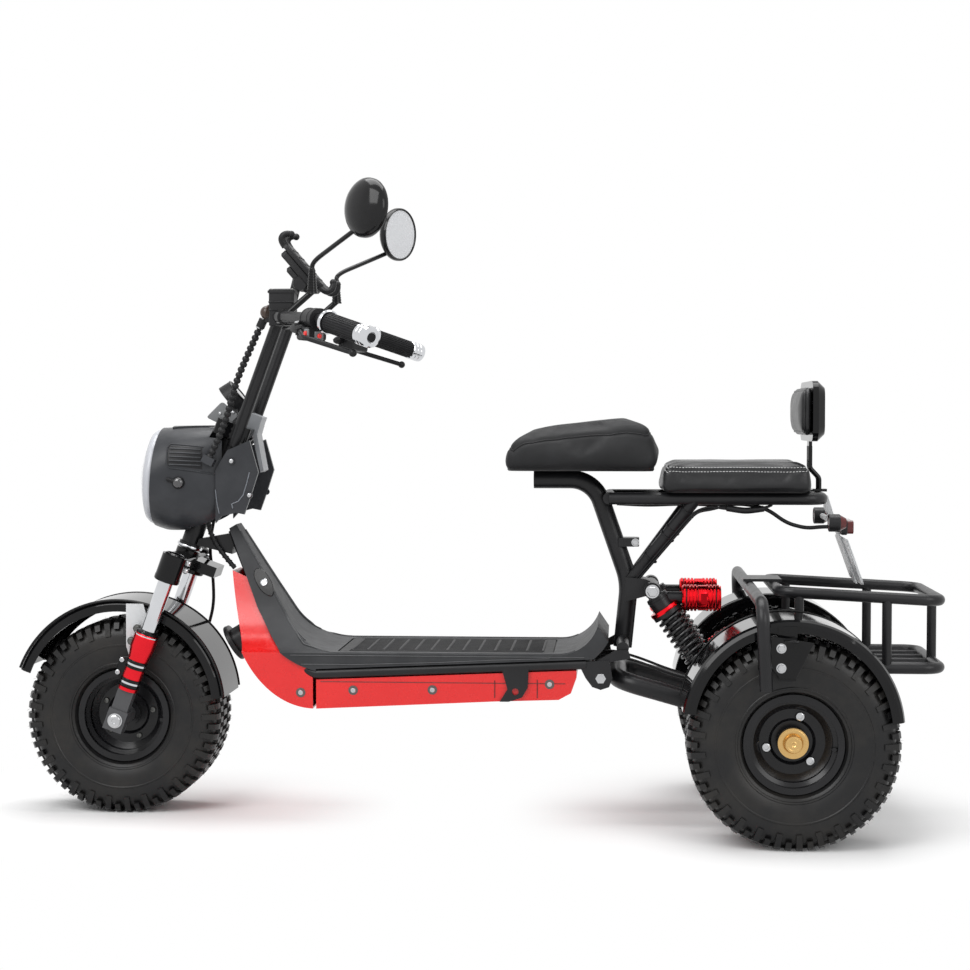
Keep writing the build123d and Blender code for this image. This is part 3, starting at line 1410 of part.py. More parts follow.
loom_z = rack_height - 10
tail_points = [
    (rack_front - 14, rack_y - 22, loom_z), (rack_front - 70, rack_y - 24, loom_z - 3),
    (rack_front - 130, rack_y - 22, loom_z), (rack_front - 190, rack_y - 24, loom_z - 2),
    (rack_front - 245, rack_y - 23, loom_z), (rack_front - 284, rack_y - 28, loom_z - 9),
    (rack_front - 322, rack_y - 36, loom_z - 36), (rack_front - 358, rack_y - 44, loom_z - 45),
    (rack_front - 388, rack_y - 49, loom_z - 42), (plate_top[0] - 11.7, rack_y - 50, loom_z - 43),
]
tail_loom = cord("tail_loom", tail_points, 7.0)
save(tail_loom, "tail_loom")
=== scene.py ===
import json
from math import copysign, cos, exp, pi, radians, sin

import bmesh
import bpy
from mathutils import Matrix, Vector, noise
from mathutils.bvhtree import BVHTree
from mathutils.kdtree import KDTree


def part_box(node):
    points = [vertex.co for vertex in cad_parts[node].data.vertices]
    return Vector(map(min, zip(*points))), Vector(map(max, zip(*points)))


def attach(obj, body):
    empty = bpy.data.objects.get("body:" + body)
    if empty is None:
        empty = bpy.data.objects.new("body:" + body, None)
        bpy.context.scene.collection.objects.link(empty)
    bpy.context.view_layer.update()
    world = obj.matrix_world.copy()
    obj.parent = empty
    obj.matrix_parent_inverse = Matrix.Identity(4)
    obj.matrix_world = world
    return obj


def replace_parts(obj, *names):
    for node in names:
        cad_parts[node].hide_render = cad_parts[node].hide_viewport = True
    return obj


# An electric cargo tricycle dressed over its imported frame. Metres; +X forward, +Y left, +Z up.
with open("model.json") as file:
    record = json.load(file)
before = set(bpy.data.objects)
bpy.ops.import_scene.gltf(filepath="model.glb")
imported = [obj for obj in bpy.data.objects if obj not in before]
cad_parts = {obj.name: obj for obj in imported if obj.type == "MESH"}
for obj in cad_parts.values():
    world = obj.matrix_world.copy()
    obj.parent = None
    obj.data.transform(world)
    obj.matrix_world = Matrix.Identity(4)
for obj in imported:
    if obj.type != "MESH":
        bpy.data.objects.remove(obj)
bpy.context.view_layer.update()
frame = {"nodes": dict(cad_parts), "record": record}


# ---------------------------------------------------------------- shader words
class Amount:
    """A number that varies over a surface; sums written with it become Math nodes."""

    def __init__(self, finish, socket):
        self.finish = finish
        self.socket = socket

    def math(self, operation, *others, reverse=False, clamp=False):
        node = self.finish.tree.nodes.new("ShaderNodeMath")
        node.operation = operation
        node.use_clamp = clamp
        terms = [self, *others]
        if reverse:
            terms.reverse()
        for slot, term in zip(node.inputs, terms):
            self.finish.feed(slot, term)
        return Amount(self.finish, node.outputs[0])

    def __add__(self, other):
        return self.math("ADD", other)

    def __sub__(self, other):
        return self.math("SUBTRACT", other)

    def __rsub__(self, other):
        return self.math("SUBTRACT", other, reverse=True)

    def __mul__(self, other):
        return self.math("MULTIPLY", other)

    def __pow__(self, other):
        return self.math("POWER", other)

    def __abs__(self):
        return self.math("ABSOLUTE")

    __radd__ = __add__
    __rmul__ = __mul__

    def clamped(self):
        return self.math("ADD", 0.0, clamp=True)

    def step(self, low, high):
        """0 below low, 1 above high, eased between."""
        return self.finish.node("MapRange", {"Value": self, "From Min": low, "From Max": high},
                                interpolation_type="SMOOTHSTEP")


class Finish:
    """A material in the making, with a principled shader at its end."""

    def __init__(self, name, colour=(0.5, 0.5, 0.5), roughness=0.5, **plain):
        self.material = bpy.data.materials.new(name)
        self.material.use_nodes = True
        self.tree = self.material.node_tree
        self.shader = self.tree.nodes["Principled BSDF"]
        self.set("Base Color", colour)
        self.set("Roughness", roughness)
        for key, value in plain.items():
            self.set(key.replace("_", " ").title().replace("Ior", "IOR"), value)

    def feed(self, slot, term):
        if isinstance(term, Amount):
            self.tree.links.new(term.socket, slot)
        elif slot.type == "RGBA" and len(term) == 3:
            slot.default_value = (*term, 1.0)
        else:
            slot.default_value = term

    def set(self, socket, term):
        self.feed(self.shader.inputs[socket], term)

    def node(self, kind, inputs=None, out=0, **settings):
        """Any node: its settings first, then the values or links of its sockets."""
        node = self.tree.nodes.new("ShaderNode" + kind)
        for key, value in settings.items():
            setattr(node, key, value)
        for key, term in (inputs or {}).items():
            self.feed(node.inputs[key], term)
        return Amount(self, node.outputs[out])

    def place(self):
        return self.node("TexCoord", out="Object")

    def axes(self):
        """The object's own x, y and z as amounts."""
        split = self.node("SeparateXYZ", {0: self.place()})
        outputs = split.socket.node.outputs
        return [Amount(self, outputs[i]) for i in range(3)]

    def noise(self, scale, detail=3.0, rough=0.5):
        """Cloudy noise about 0.5; scale is in cells per metre."""
        return self.node("TexNoise", {"Vector": self.place(), "Scale": scale, "Detail": detail,
                                      "Roughness": rough})

    def blend(self, factor, first, second):
        """One colour going over into another."""
        node = self.tree.nodes.new("ShaderNodeMix")
        node.data_type = "RGBA"
        for slot, term in zip((node.inputs[0], node.inputs[6], node.inputs[7]),
                              (factor, first, second)):
            self.feed(slot, term)
        return Amount(self, node.outputs[2])

    def bump(self, height, distance):
        """Relief: a height from 0 to 1 standing up by a distance in metres."""
        self.set("Normal", self.node("Bump", {"Height": height, "Distance": distance, "Strength": 1.0}))

    def worn(self, colour, light, amount=0.5, scale=9.0):
        """A base colour with broad faint clouds of a lighter one."""
        clouds = (self.noise(scale, 5.0, 0.6) - 0.42) * (amount * 3)
        self.set("Base Color", self.blend(clouds.clamped(), colour, light))


def painted(name, colour, light, roughness, peel=0.00012, **plain):
    """Sprayed or powder-coated metal: fine orange peel and faint clouds of dust."""
    finish = Finish(name, colour, roughness, **plain)
    finish.worn(colour, light)
    finish.set("Roughness", (finish.noise(30.0, 4.0) - 0.5) * 0.16 + roughness)
    finish.bump(finish.noise(420.0, 2.0), peel)
    return finish.material


def moulded(name, colour, light, roughness, grain=900.0, depth=0.00018, **plain):
    """Moulded plastic or rubber with a fine stipple."""
    finish = Finish(name, colour, roughness, **plain)
    finish.worn(colour, light, 0.6, 14.0)
    finish.set("Roughness", (finish.noise(45.0, 4.0) - 0.5) * 0.2 + roughness)
    finish.bump(finish.noise(grain, 2.0), depth)
    return finish.material


def bare_metal(name, colour, roughness, depth=0.00004):
    """Machined, cast or plated metal with fine tool marks."""
    finish = Finish(name, colour, roughness, metallic=1.0)
    finish.worn(colour, tuple(min(1.0, c * 1.2) for c in colour), 0.5, 25.0)
    marks = finish.noise(500.0, 3.0, 0.6)
    finish.set("Roughness", (marks - 0.5) * 0.2 + roughness)
    finish.bump(marks, depth)
    return finish.material


finishes = {
    "frame_black": painted("frame satin black", (0.008, 0.008, 0.009), (0.022, 0.022, 0.024), 0.36,
                           specular_ior_level=0.3),
    "gloss_black": painted("fork gloss black", (0.003, 0.003, 0.0034), (0.007, 0.007, 0.008), 0.07,
                           0.00001, specular_ior_level=0.25),
    "tray_grey": moulded("tray charcoal plastic", (0.022, 0.023, 0.025), (0.05, 0.051, 0.054), 0.5,
                         specular_ior_level=0.3),
    "panel_red": moulded("panel red", (0.62, 0.008, 0.008), (0.70, 0.014, 0.012), 0.28, 60.0, 0.00006,
                         coat_weight=0.12),
    "chrome": bare_metal("chrome", (0.62, 0.63, 0.65), 0.1, depth=0.00001),
    "sleeve_red": bare_metal("sleeve anodised red", (0.75, 0.02, 0.03), 0.28),
    "axle_grey": painted("cast dark grey", (0.05, 0.051, 0.054), (0.09, 0.09, 0.095), 0.4),
    "disc_steel": bare_metal("brushed steel", (0.55, 0.56, 0.58), 0.3),
    "tyre_black": moulded("tyre rubber", (0.009, 0.009, 0.0095), (0.030, 0.027, 0.023), 0.36, 500.0,
                          0.0002, specular_ior_level=0.28),
    "rim_black": painted("rim black", (0.007, 0.007, 0.008), (0.018, 0.018, 0.02), 0.22,
                         0.00004, specular_ior_level=0.3),
    "hub_bronze": bare_metal("hub brass", (0.56, 0.36, 0.14), 0.28),
    "nacelle_slate": moulded("nacelle slate", (0.022, 0.0235, 0.027), (0.045, 0.047, 0.052), 0.34,
                             specular_ior_level=0.3),
    "cover_grey": moulded("cover grey", (0.24, 0.25, 0.265), (0.32, 0.33, 0.345), 0.35),
    "lens": moulded("lamp lens", (0.7, 0.72, 0.74), (0.8, 0.82, 0.84), 0.1, 60.0, 0.00001,
                    coat_weight=1.0),
    "grip_rubber": moulded("grip rubber", (0.008, 0.008, 0.009), (0.022, 0.022, 0.023), 0.6,
                           specular_ior_level=0.2),
    "control_black": moulded("control black", (0.007, 0.007, 0.008), (0.018, 0.018, 0.019), 0.42,
                             specular_ior_level=0.25),
    "seat_black": moulded("seat vinyl", (0.016, 0.016, 0.017), (0.035, 0.035, 0.036), 0.55, 700.0),
    "plate_silver": painted("plate silver", (0.55, 0.56, 0.57), (0.66, 0.67, 0.68), 0.35),
    "lamp_red": moulded("lamp red", (0.075, 0.006, 0.006), (0.13, 0.010, 0.010), 0.12, 60.0, 0.00001),
    "spring_black": painted("spring black", (0.006, 0.006, 0.007), (0.016, 0.016, 0.018), 0.2),
    "damper_black": painted("damper black", (0.008, 0.008, 0.009), (0.02, 0.02, 0.022), 0.34,
                            specular_ior_level=0.28),
    "mirror_black": moulded("mirror black", (0.008, 0.008, 0.009), (0.02, 0.02, 0.02), 0.3,
                            specular_ior_level=0.3),
    "battery_grey": moulded("battery grey", (0.05, 0.052, 0.055), (0.08, 0.08, 0.083), 0.6),
}
for entry in frame["record"]["subparts"]:
    item = frame["nodes"][entry["node"]]
    item.data.materials.clear()
    item.data.materials.append(finishes[entry["material_slot"]])

# ---------------------------------------------------------------- forms
UP = Vector((0, 0, 1))
ORIGIN = Matrix.Identity(4)
# the least fold that stays sharp on machined, moulded, bent and sewn pieces
MACHINED = radians(30)
CREASE = radians(38)
MOULDED = radians(40)
BENT = radians(50)
SEWN = radians(60)


def mm(*values):
    return Vector(values) / 1000


def basis(origin, facing, toward=UP):
    """A matrix whose z axis points along facing and whose y axis leans toward a direction."""
    z = Vector(facing).normalized()
    y = Vector(toward) - z * z.dot(Vector(toward))
    if y.length < 1e-6:
        y = Vector((1, 0, 0)) - z * z.x
    y.normalize()
    x = y.cross(z)
    turn = Matrix((x, y, z)).transposed().to_4x4()
    return Matrix.Translation(Vector(origin)) @ turn


def smooth_line(points, steps=10):
    """Points along the smooth line that the given points steer, read from its own spline."""
    data = bpy.data.curves.new("line", "CURVE")
    data.dimensions = "3D"
    spline = data.splines.new("NURBS")
    spline.points.add(len(points) - 1)
    for slot, point in zip(spline.points, points):
        slot.co = (*point, 1.0)
    spline.order_u = 3
    spline.use_endpoint_u = True
    spline.resolution_u = steps
    item = bpy.data.objects.new("line", data)
    mesh = bpy.data.meshes.new_from_object(item)
    line = [vertex.co.copy() for vertex in mesh.vertices]
    bpy.data.objects.remove(item)
    bpy.data.meshes.remove(mesh)
    return line


def mm_line(points, steps=10):
    """A smooth line steered by points in mm."""
    return smooth_line([mm(*point) for point in points], steps)


def spaced(line, count):
    """The same line with its points set at even distances."""
    runs = [0.0]
    for before, after in zip(line, line[1:]):
        runs.append(runs[-1] + (after - before).length)
    result = []
    k = 0
    for i in range(count):
        goal = runs[-1] * i / (count - 1)
        while k < len(line) - 2 and runs[k + 1] < goal:
            k += 1
        span = max(runs[k + 1] - runs[k], 1e-9)
        result.append(line[k].lerp(line[k + 1], min(1.0, (goal - runs[k]) / span)))
    return result


def carried_frames(line, closed=False):
    """A frame at each point of a line, turned as little as possible from one to the next."""
    ways = []
    last = len(line) - 1
    for i in range(len(line)):
        before = line[i - 1] if (i > 0 or closed) else line[0]
        after = line[(i + 1) % len(line)] if (i < last or closed) else line[last]
        ways.append((after - before).normalized())
    side = ways[0].orthogonal().normalized()
    frames = []
    for point, way in zip(line, ways):
        side = (side - way * side.dot(way)).normalized()
        frames.append((point, side, way.cross(side), way))
    return frames


class Form:
    """Geometry in the making; each call adds a closed shape to it."""

    def __init__(self):
        self.mesh = bmesh.new()

    def skin(self, rings, closed=False):
        """Join rings of points, all of one count, with quads."""
        rows = [[self.mesh.verts.new(point) for point in ring] for ring in rings]
        pairs = list(zip(rows, rows[1:]))
        if closed:
            pairs.append((rows[-1], rows[0]))
        count = len(rows[0])
        for low, high in pairs:
            for i in range(count):
                j = (i + 1) % count
                self.mesh.faces.new((low[i], low[j], high[j], high[i]))
        if not closed:
            self.mesh.faces.new(list(reversed(rows[0])))
            self.mesh.faces.new(rows[-1])
        return self

    def lathe(self, profile, place=ORIGIN, steps=48, closed=False):
        """Turn a profile of (radius, height) about the z axis of a place; radius 0 makes a pole."""
        rows = []
        for radius, height in profile:
            if radius < 1e-7:
                rows.append([self.mesh.verts.new(place @ Vector((0, 0, height)))])
            else:
                rows.append([self.mesh.verts.new(place @ Vector((
                    radius * cos(2 * pi * i / steps), radius * sin(2 * pi * i / steps), height)))
                    for i in range(steps)])
        pairs = list(zip(rows, rows[1:]))
        if closed:
            pairs.append((rows[-1], rows[0]))
        for low, high in pairs:
            for i in range(steps):
                j = (i + 1) % steps
                ring = [low[i % len(low)], low[j % len(low)], high[j % len(high)], high[i % len(high)]]
                corners = []
                for vertex in ring:
                    if vertex not in corners:
                        corners.append(vertex)
                if len(corners) > 2:
                    self.mesh.faces.new(corners)
        return self

    def tube(self, line, radius, sides=12, closed=False):
        """A round bar along a line; the radius may be a number or a function of 0 to 1."""
        rings = []
        frames = carried_frames(line, closed)
        for i, (point, side, over, _) in enumerate(frames):
            size = radius(i / max(1, len(frames) - 1)) if callable(radius) else radius
            rings.append([point + side * (size * cos(2 * pi * k / sides))
                          + over * (size * sin(2 * pi * k / sides)) for k in range(sides)])
        return self.skin(rings, closed)

    def slab(self, outline, place, low, high, bevel):
        """An outline in a place's x-y plane made solid between two heights, its edges eased."""
        rings = []
        for height, inset in ((low, bevel), (low + bevel, 0.0), (high - bevel, 0.0), (high, bevel)):
            ring = inset_outline(outline, inset) if inset else outline
            rings.append([place @ Vector((x, y, height)) for x, y in ring])
        return self.skin(rings)

    def block(self, centre, size, bevel, place=ORIGIN):
        """A box with eased edges about a centre in a place's own axes."""
        x, y, z = centre
        dx, dy, dz = (length / 2 for length in size)
        outline = round_box(x - dx, y - dy, x + dx, y + dy, bevel, 2)
        return self.slab(outline, place, z - dz, z + dz, bevel)

    def ball(self, centre, radius, steps=12):
        rows = [(radius * sin(pi * k / steps), -radius * cos(pi * k / steps)) for k in range(steps + 1)]
        rows[0] = (0.0, rows[0][1])
        rows[-1] = (0.0, rows[-1][1])
        return self.lathe(rows, Matrix.Translation(Vector(centre)), 2 * steps)

    def mirrored(self):
        """Add the same shapes on the other side of the middle."""
        copy = bmesh.ops.duplicate(self.mesh, geom=self.mesh.verts[:] + self.mesh.edges[:]
                                   + self.mesh.faces[:])["geom"]
        for part in copy:
            if isinstance(part, bmesh.types.BMVert):
                part.co.y = -part.co.y
        bmesh.ops.reverse_faces(self.mesh, faces=[f for f in copy if isinstance(f, bmesh.types.BMFace)])
        return self

    def done(self):
        """The plain mesh, its faces turned outward."""
        bmesh.ops.remove_doubles(self.mesh, verts=self.mesh.verts, dist=1e-6)
        bmesh.ops.recalc_face_normals(self.mesh, faces=self.mesh.faces)
        mesh = bpy.data.meshes.new("form")
        self.mesh.to_mesh(mesh)
        self.mesh.free()
        return mesh


def inset_outline(outline, depth):
    """An outline moved inward by a depth, corner by corner."""
    area = sum(a[0] * b[1] - b[0] * a[1] for a, b in zip(outline, outline[1:] + outline[:1]))
    turn = 1 if area > 0 else -1
    result = []
    count = len(outline)
    for i, corner in enumerate(outline):
        here = Vector(corner)
        before = (here - Vector(outline[i - 1])).normalized()
        after = (Vector(outline[(i + 1) % count]) - here).normalized()
        inward = (Vector((-before.y, before.x)) + Vector((-after.y, after.x))) * turn
        lean = inward.length
        if lean < 1e-6:
            result.append(tuple(here))
            continue
        inward.normalize()
        reach = depth / max(0.35, inward.dot(Vector((-after.y, after.x)) * turn))
        result.append(tuple(here + inward * reach))
    return result


def rounded_outline(outline, radius, steps=4):
    """An outline with each corner rounded."""
    result = []
    count = len(outline)
    for i, corner in enumerate(outline):
        here = Vector(corner)
        arriving = Vector(outline[i - 1]) - here
        leaving = Vector(outline[(i + 1) % count]) - here
        reach = min(radius, arriving.length * 0.45, leaving.length * 0.45)
        start = here + arriving.normalized() * reach
        end = here + leaving.normalized() * reach
        for k in range(steps + 1):
            t = k / steps
            result.append(tuple(start * (1 - t) ** 2 + here * 2 * t * (1 - t) + end * t ** 2))
    return result


def round_box(x_low, y_low, x_high, y_high, radius, steps=4):
    """A rectangle's outline with round corners."""
    corners = [(x_low, y_low), (x_high, y_low), (x_high, y_high), (x_low, y_high)]
    return rounded_outline(corners, radius, steps)


def round_sheet(width, height, radius, steps=4):
    """A rectangle's outline about its middle."""
    return round_box(-width / 2, -height / 2, width / 2, height / 2, radius, steps)


def soft_outline(points, steps=6):
    """A smooth closed outline steered by its points."""
    count = len(points)
    result = []
    for i in range(count):
        p0, p1, p2, p3 = (Vector(points[(i + k - 1) % count]) for k in range(4))
        for s in range(steps):
            t = s / steps
            result.append(tuple(0.5 * (2 * p1 + (p2 - p0) * t + (2 * p0 - 5 * p1 + 4 * p2 - p3) * t * t
                                       + (3 * p1 - p0 - 3 * p2 + p3) * t ** 3)))
    return result


def piece(name, shape, slot, body, crease=CREASE, finish=None):
    """A finished piece: smooth but for its sharp folds, with its finish, riding on a body."""
    mesh = shape.done() if isinstance(shape, Form) else shape
    item = bpy.data.objects.new(name, mesh)
    bpy.context.collection.objects.link(item)
    mesh.name = name
    mesh.materials.clear()
    mesh.materials.append(finish or finishes[slot])
    for face in mesh.polygons:
        face.use_smooth = True
        face.material_index = 0
    mesh.set_sharp_from_angle(angle=crease)
    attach(item, body)
    return item


# ---------------------------------------------------------------- repeats
class Grower:
    """A Geometry Nodes tree that copies a small shape, with its sizes as named inputs."""

    def __init__(self, name, inputs):
        self.tree = bpy.data.node_groups.new(name, "GeometryNodeTree")
        face = self.tree.interface
        face.new_socket("Geometry", in_out="INPUT", socket_type="NodeSocketGeometry")
        self.keys = {}
        for label, kind in inputs.items():
            self.keys[label] = face.new_socket(label, in_out="INPUT",
                                               socket_type="NodeSocket" + kind).identifier
        self.keys["Finish"] = face.new_socket("Finish", in_out="INPUT",
                                              socket_type="NodeSocketMaterial").identifier
        face.new_socket("Geometry", in_out="OUTPUT", socket_type="NodeSocketGeometry")
        self.entry = self.tree.nodes.new("NodeGroupInput")
        self.exit = self.tree.nodes.new("NodeGroupOutput")

    def node(self, kind, inputs=None, **settings):
        node = self.tree.nodes.new(kind)
        for key, value in settings.items():
            setattr(node, key, value)
        for key, term in (inputs or {}).items():
            slot = node.inputs[key]
            if hasattr(term, "is_output"):
                self.tree.links.new(term, slot)
            else:
                slot.default_value = term
        return node

    def end(self, points, turn=None):
        """Set a copy at each point, turned as told, and make the copies real."""
        inputs = {"Points": points, "Instance": self.entry.outputs["Geometry"]}
        if turn:
            inputs["Rotation"] = turn
        copies = self.node("GeometryNodeInstanceOnPoints", inputs)
        real = self.node("GeometryNodeRealizeInstances", {"Geometry": copies.outputs[0]})
        coloured = self.node("GeometryNodeSetMaterial", {
            "Geometry": real.outputs[0], "Material": self.entry.outputs["Finish"]})
        self.tree.links.new(coloured.outputs[0], self.exit.inputs[0])

    def grow(self, mesh, finish, **values):
        """Run the tree on a small mesh and return the plain result."""
        item = bpy.data.objects.new("seed", mesh)
        bpy.context.collection.objects.link(item)
        modifier = item.modifiers.new("grow", "NODES")
        modifier.node_group = self.tree
        modifier[self.keys["Finish"]] = finish
        for label, value in values.items():
            modifier[self.keys[label.replace("_", " ")]] = value
        bpy.context.view_layer.update()
        scene_graph = bpy.context.evaluated_depsgraph_get()
        result = bpy.data.meshes.new_from_object(item.evaluated_get(scene_graph))
        item.modifiers.clear()
        bpy.data.objects.remove(item)
        return result


def ring_grower():
    """Copies set evenly round the z axis, the first at a start angle."""
    grower = Grower("copies round an axis", {"Count": "Int", "Start": "Float"})
    entry = grower.entry.outputs
    points = grower.node("GeometryNodePoints", {"Count": entry["Count"]})
    index = grower.node("GeometryNodeInputIndex")
    share = grower.node("ShaderNodeMath", {0: index.outputs[0], 1: entry["Count"]}, operation="DIVIDE")
    angle = grower.node("ShaderNodeMath", {0: share.outputs[0], 1: 2 * pi}, operation="MULTIPLY")
    total = grower.node("ShaderNodeMath", {0: angle.outputs[0], 1: entry["Start"]}, operation="ADD")
    turn = grower.node("ShaderNodeCombineXYZ", {"Z": total.outputs[0]})
    grower.end(points.outputs[0], turn.outputs[0])
    return grower


def row_grower():
    """Copies in a straight row, a step apart."""
    grower = Grower("copies in a row", {"Count": "Int", "Step": "Vector"})
    entry = grower.entry.outputs
    line = grower.node("GeometryNodeMeshLine", {"Count": entry["Count"], "Offset": entry["Step"]})
    grower.end(line.outputs[0])
    return grower


def path_grower():
    """Copies along a path, their z axes along it."""
    grower = Grower("copies along a path", {"Path": "Object", "Count": "Int"})
    entry = grower.entry.outputs
    path = grower.node("GeometryNodeObjectInfo", {"Object": entry["Path"]})
    stations = grower.node("GeometryNodeCurveToPoints", {"Curve": path.outputs["Geometry"],
                                                         "Count": entry["Count"]}, mode="COUNT")
    grower.end(stations.outputs["Points"], stations.outputs["Rotation"])
    return grower


def spot_grower():
    """Copies set at marked spots, their z axes along each spot's own way."""
    grower = Grower("copies at spots", {"Spots": "Object"})
    entry = grower.entry.outputs
    spots = grower.node("GeometryNodeObjectInfo", {"Object": entry["Spots"]})
    way = grower.node("GeometryNodeInputNamedAttribute", {"Name": "way"}, data_type="FLOAT_VECTOR")
    turn = grower.node("FunctionNodeAlignRotationToVector", {"Vector": way.outputs[0]}, axis="Z")
    grower.end(spots.outputs["Geometry"], turn.outputs[0])
    return grower


round_an_axis = ring_grower()
in_a_row = row_grower()
on_a_path = path_grower()
at_spots = spot_grower()


def copies_round(mesh, finish, count, place=ORIGIN, start=0.0):
    """Copies of a small mesh about the z axis of a place."""
    result = round_an_axis.grow(mesh, finish, Count=count, Start=start)
    result.transform(place)
    return result


def copies_in_row(mesh, finish, count, step):
    return in_a_row.grow(mesh, finish, Count=count, Step=tuple(step))


def copies_along(mesh, finish, line, count, closed=False):
    """Copies of a small mesh along a line of points."""
    data = bpy.data.curves.new("path", "CURVE")
    data.dimensions = "3D"
    data.twist_mode = "MINIMUM"
    spline = data.splines.new("POLY")
    spline.points.add(len(line) - 1)
    for slot, point in zip(spline.points, line):
        slot.co = (*point, 1.0)
    spline.use_cyclic_u = closed
    path = bpy.data.objects.new("path", data)
    bpy.context.collection.objects.link(path)
    result = on_a_path.grow(mesh, finish, Path=path, Count=count)
    bpy.data.objects.remove(path)
    return result


def joined(*meshes):
    """Several meshes as one."""
    whole = bmesh.new()
    for mesh in meshes:
        whole.from_mesh(mesh)
    result = bpy.data.meshes.new("joined")
    whole.to_mesh(result)
    whole.free()
    return result


def mirror_image(mesh):
    """The same mesh on the other side of the middle, its faces still outward."""
    result = mesh.copy()
    result.transform(Matrix.Scale(-1, 4, (0, 1, 0)))
    result.flip_normals()
    return result


def copies_at(mesh, finish, spots):
    """Copies of a small mesh at (place, way) spots."""
    marks = bpy.data.meshes.new("spots")
    marks.from_pydata([tuple(place) for place, _ in spots], [], [])
    ways = marks.attributes.new("way", "FLOAT_VECTOR", "POINT")
    for slot, (_, way) in zip(ways.data, spots):
        slot.vector = Vector(way).normalized()
    item = bpy.data.objects.new("spots", marks)
    bpy.context.collection.objects.link(item)
    result = at_spots.grow(mesh, finish, Spots=item)
    bpy.data.objects.remove(item)
    return result


def bolt_head(radius, height, socket=0.45):
    """A domed screw head with a socket, standing on z = 0."""
    return Form().lathe([
        (0.0, -0.001), (radius, -0.001), (radius, height * 0.45), (radius * 0.82, height * 0.86),
        (radius * 0.55, height), (radius * socket, height), (radius * socket * 0.9, height * 0.45),
        (0.0, height * 0.45)], ORIGIN, 20).done()


def hex_head(radius, height):
    """A hexagonal head on a washer, standing on z = 0."""
    form = Form()
    form.lathe([(0.0, -0.001), (radius * 1.25, -0.001), (radius * 1.25, 0.0012), (radius, 0.0012),
                (radius * 0.98, 0.0016), (0.0, 0.0016)], ORIGIN, 24)
    corners = [(radius * cos(pi * k / 3), radius * sin(pi * k / 3)) for k in range(6)]
    form.slab(corners, ORIGIN, 0.0008, height, height * 0.12)
    form.lathe([(0.0, height * 0.9), (radius * 0.5, height * 0.9), (radius * 0.48, height * 1.25),
                (0.0, height * 1.3)], ORIGIN, 16)
    return form.done()


zinc = bare_metal("zinc plate", (0.5, 0.505, 0.515), 0.22)
dark_zinc = bare_metal("black zinc", (0.12, 0.12, 0.115), 0.35)


def bolts(name, head, spots, body, finish=zinc, slot="chrome"):
    """A set of like fasteners as one piece."""
    return piece(name, copies_at(head, finish, spots), slot, body, MACHINED, finish)


def both_sides(spots):
    """Fasteners' spots from (x, y, z) in mm, looking outward on each side."""
    return [(mm(x, hand * y, z), (0, hand, 0)) for hand in (1, -1) for x, y, z in spots]


class Skin:
    """The outside of a CAD node, for laying trim on it."""

    def __init__(self, *nodes):
        surface = bmesh.new()
        for node in nodes:
            surface.from_mesh(frame["nodes"][node].data)
        self.tree = BVHTree.FromBMesh(surface)
        surface.free()

    def look(self, start, way, lift):
        """Where a look along a way meets the skin, raised by a lift in mm, and its outward normal."""
        point, normal, _, _ = self.tree.ray_cast(start, way)
        if point is None:
            raise ValueError(f"nothing to lay trim on from {start}")
        if normal.dot(way) > 0:
            normal = -normal
        return point + normal * (lift / 1000), normal

    def from_side(self, x, z, lift=0.0, hand=1):
        """The skin's point seen from a side at (x, z) in mm."""
        return self.look(mm(x, hand * 600, z), Vector((0, -hand, 0)), lift)

    def from_top(self, x, y, lift=0.0):
        """The skin's point seen from above at (x, y) in mm."""
        return self.look(mm(x, y, 1400), Vector((0, 0, -1)), lift)

    def bead(self, form, points, radius, sink=0.25, from_top=False):
        """A thin bead laid along the skin through (x, z) points, or (x, y) ones from the top."""
        dense = []
        for before, after in zip(points, points[1:]):
            steps = max(2, int((Vector(after) - Vector(before)).length / 4))
            dense += [tuple(Vector(before).lerp(Vector(after), k / steps)) for k in range(steps)]
        dense.append(tuple(points[-1]))
        find = self.from_top if from_top else self.from_side
        form.tube([find(a, b, radius * (1 - 2 * sink))[0] for a, b in dense], radius / 1000, 8)

    def patch(self, form, outline, low, high, rows=10, from_top=False):
        """A thin plate that follows the skin within a four-cornered outline."""
        a, b, c, d = (Vector(p) for p in outline)
        find = self.from_top if from_top else self.from_side
        grids = []
        for lift in (low, high):
            grid = []
            for i in range(rows + 1):
                row = []
                for j in range(rows + 1):
                    spot = a.lerp(b, i / rows).lerp(d.lerp(c, i / rows), j / rows)
                    row.append(form.mesh.verts.new(find(spot.x, spot.y, lift)[0]))
                grid.append(row)
            grids.append(grid)
        under, over = grids
        face = form.mesh.faces.new
        for i in range(rows):
            for j in range(rows):
                face((over[i][j], over[i + 1][j], over[i + 1][j + 1], over[i][j + 1]))
                face((under[i][j], under[i][j + 1], under[i + 1][j + 1], under[i + 1][j]))
        for k in range(rows):
            face((under[k][0], under[k + 1][0], over[k + 1][0], over[k][0]))
            face((under[k + 1][rows], under[k][rows], over[k][rows], over[k + 1][rows]))
            face((under[0][k + 1], under[0][k], over[0][k], over[0][k + 1]))
            face((under[rows][k], under[rows][k + 1], over[rows][k + 1], over[rows][k]))


# ---------------------------------------------------------------- shared places
front_low, front_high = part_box("front_tyre")
wheel_radius = (front_high.z - front_low.z) / 2
front_axle = Vector(((front_low.x + front_high.x) / 2, 0, wheel_radius))
left_low, left_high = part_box("rear_tyre_left")
rear_axle = Vector(((left_low.x + left_high.x) / 2, 0, wheel_radius))
half_track = Vector((0, (left_low.y + left_high.y) / 2, 0))
rake = radians(20)
steer_way = Vector((-sin(rake), 0, cos(rake)))
steer_forward = Vector((cos(rake), 0, sin(rake)))


def on_steer(forward, left, up):
    """A place in mm along and across the raked steering axis, from the front axle."""
    return front_axle + (steer_forward * forward + steer_way * up) / 1000 + mm(0, left, 0)


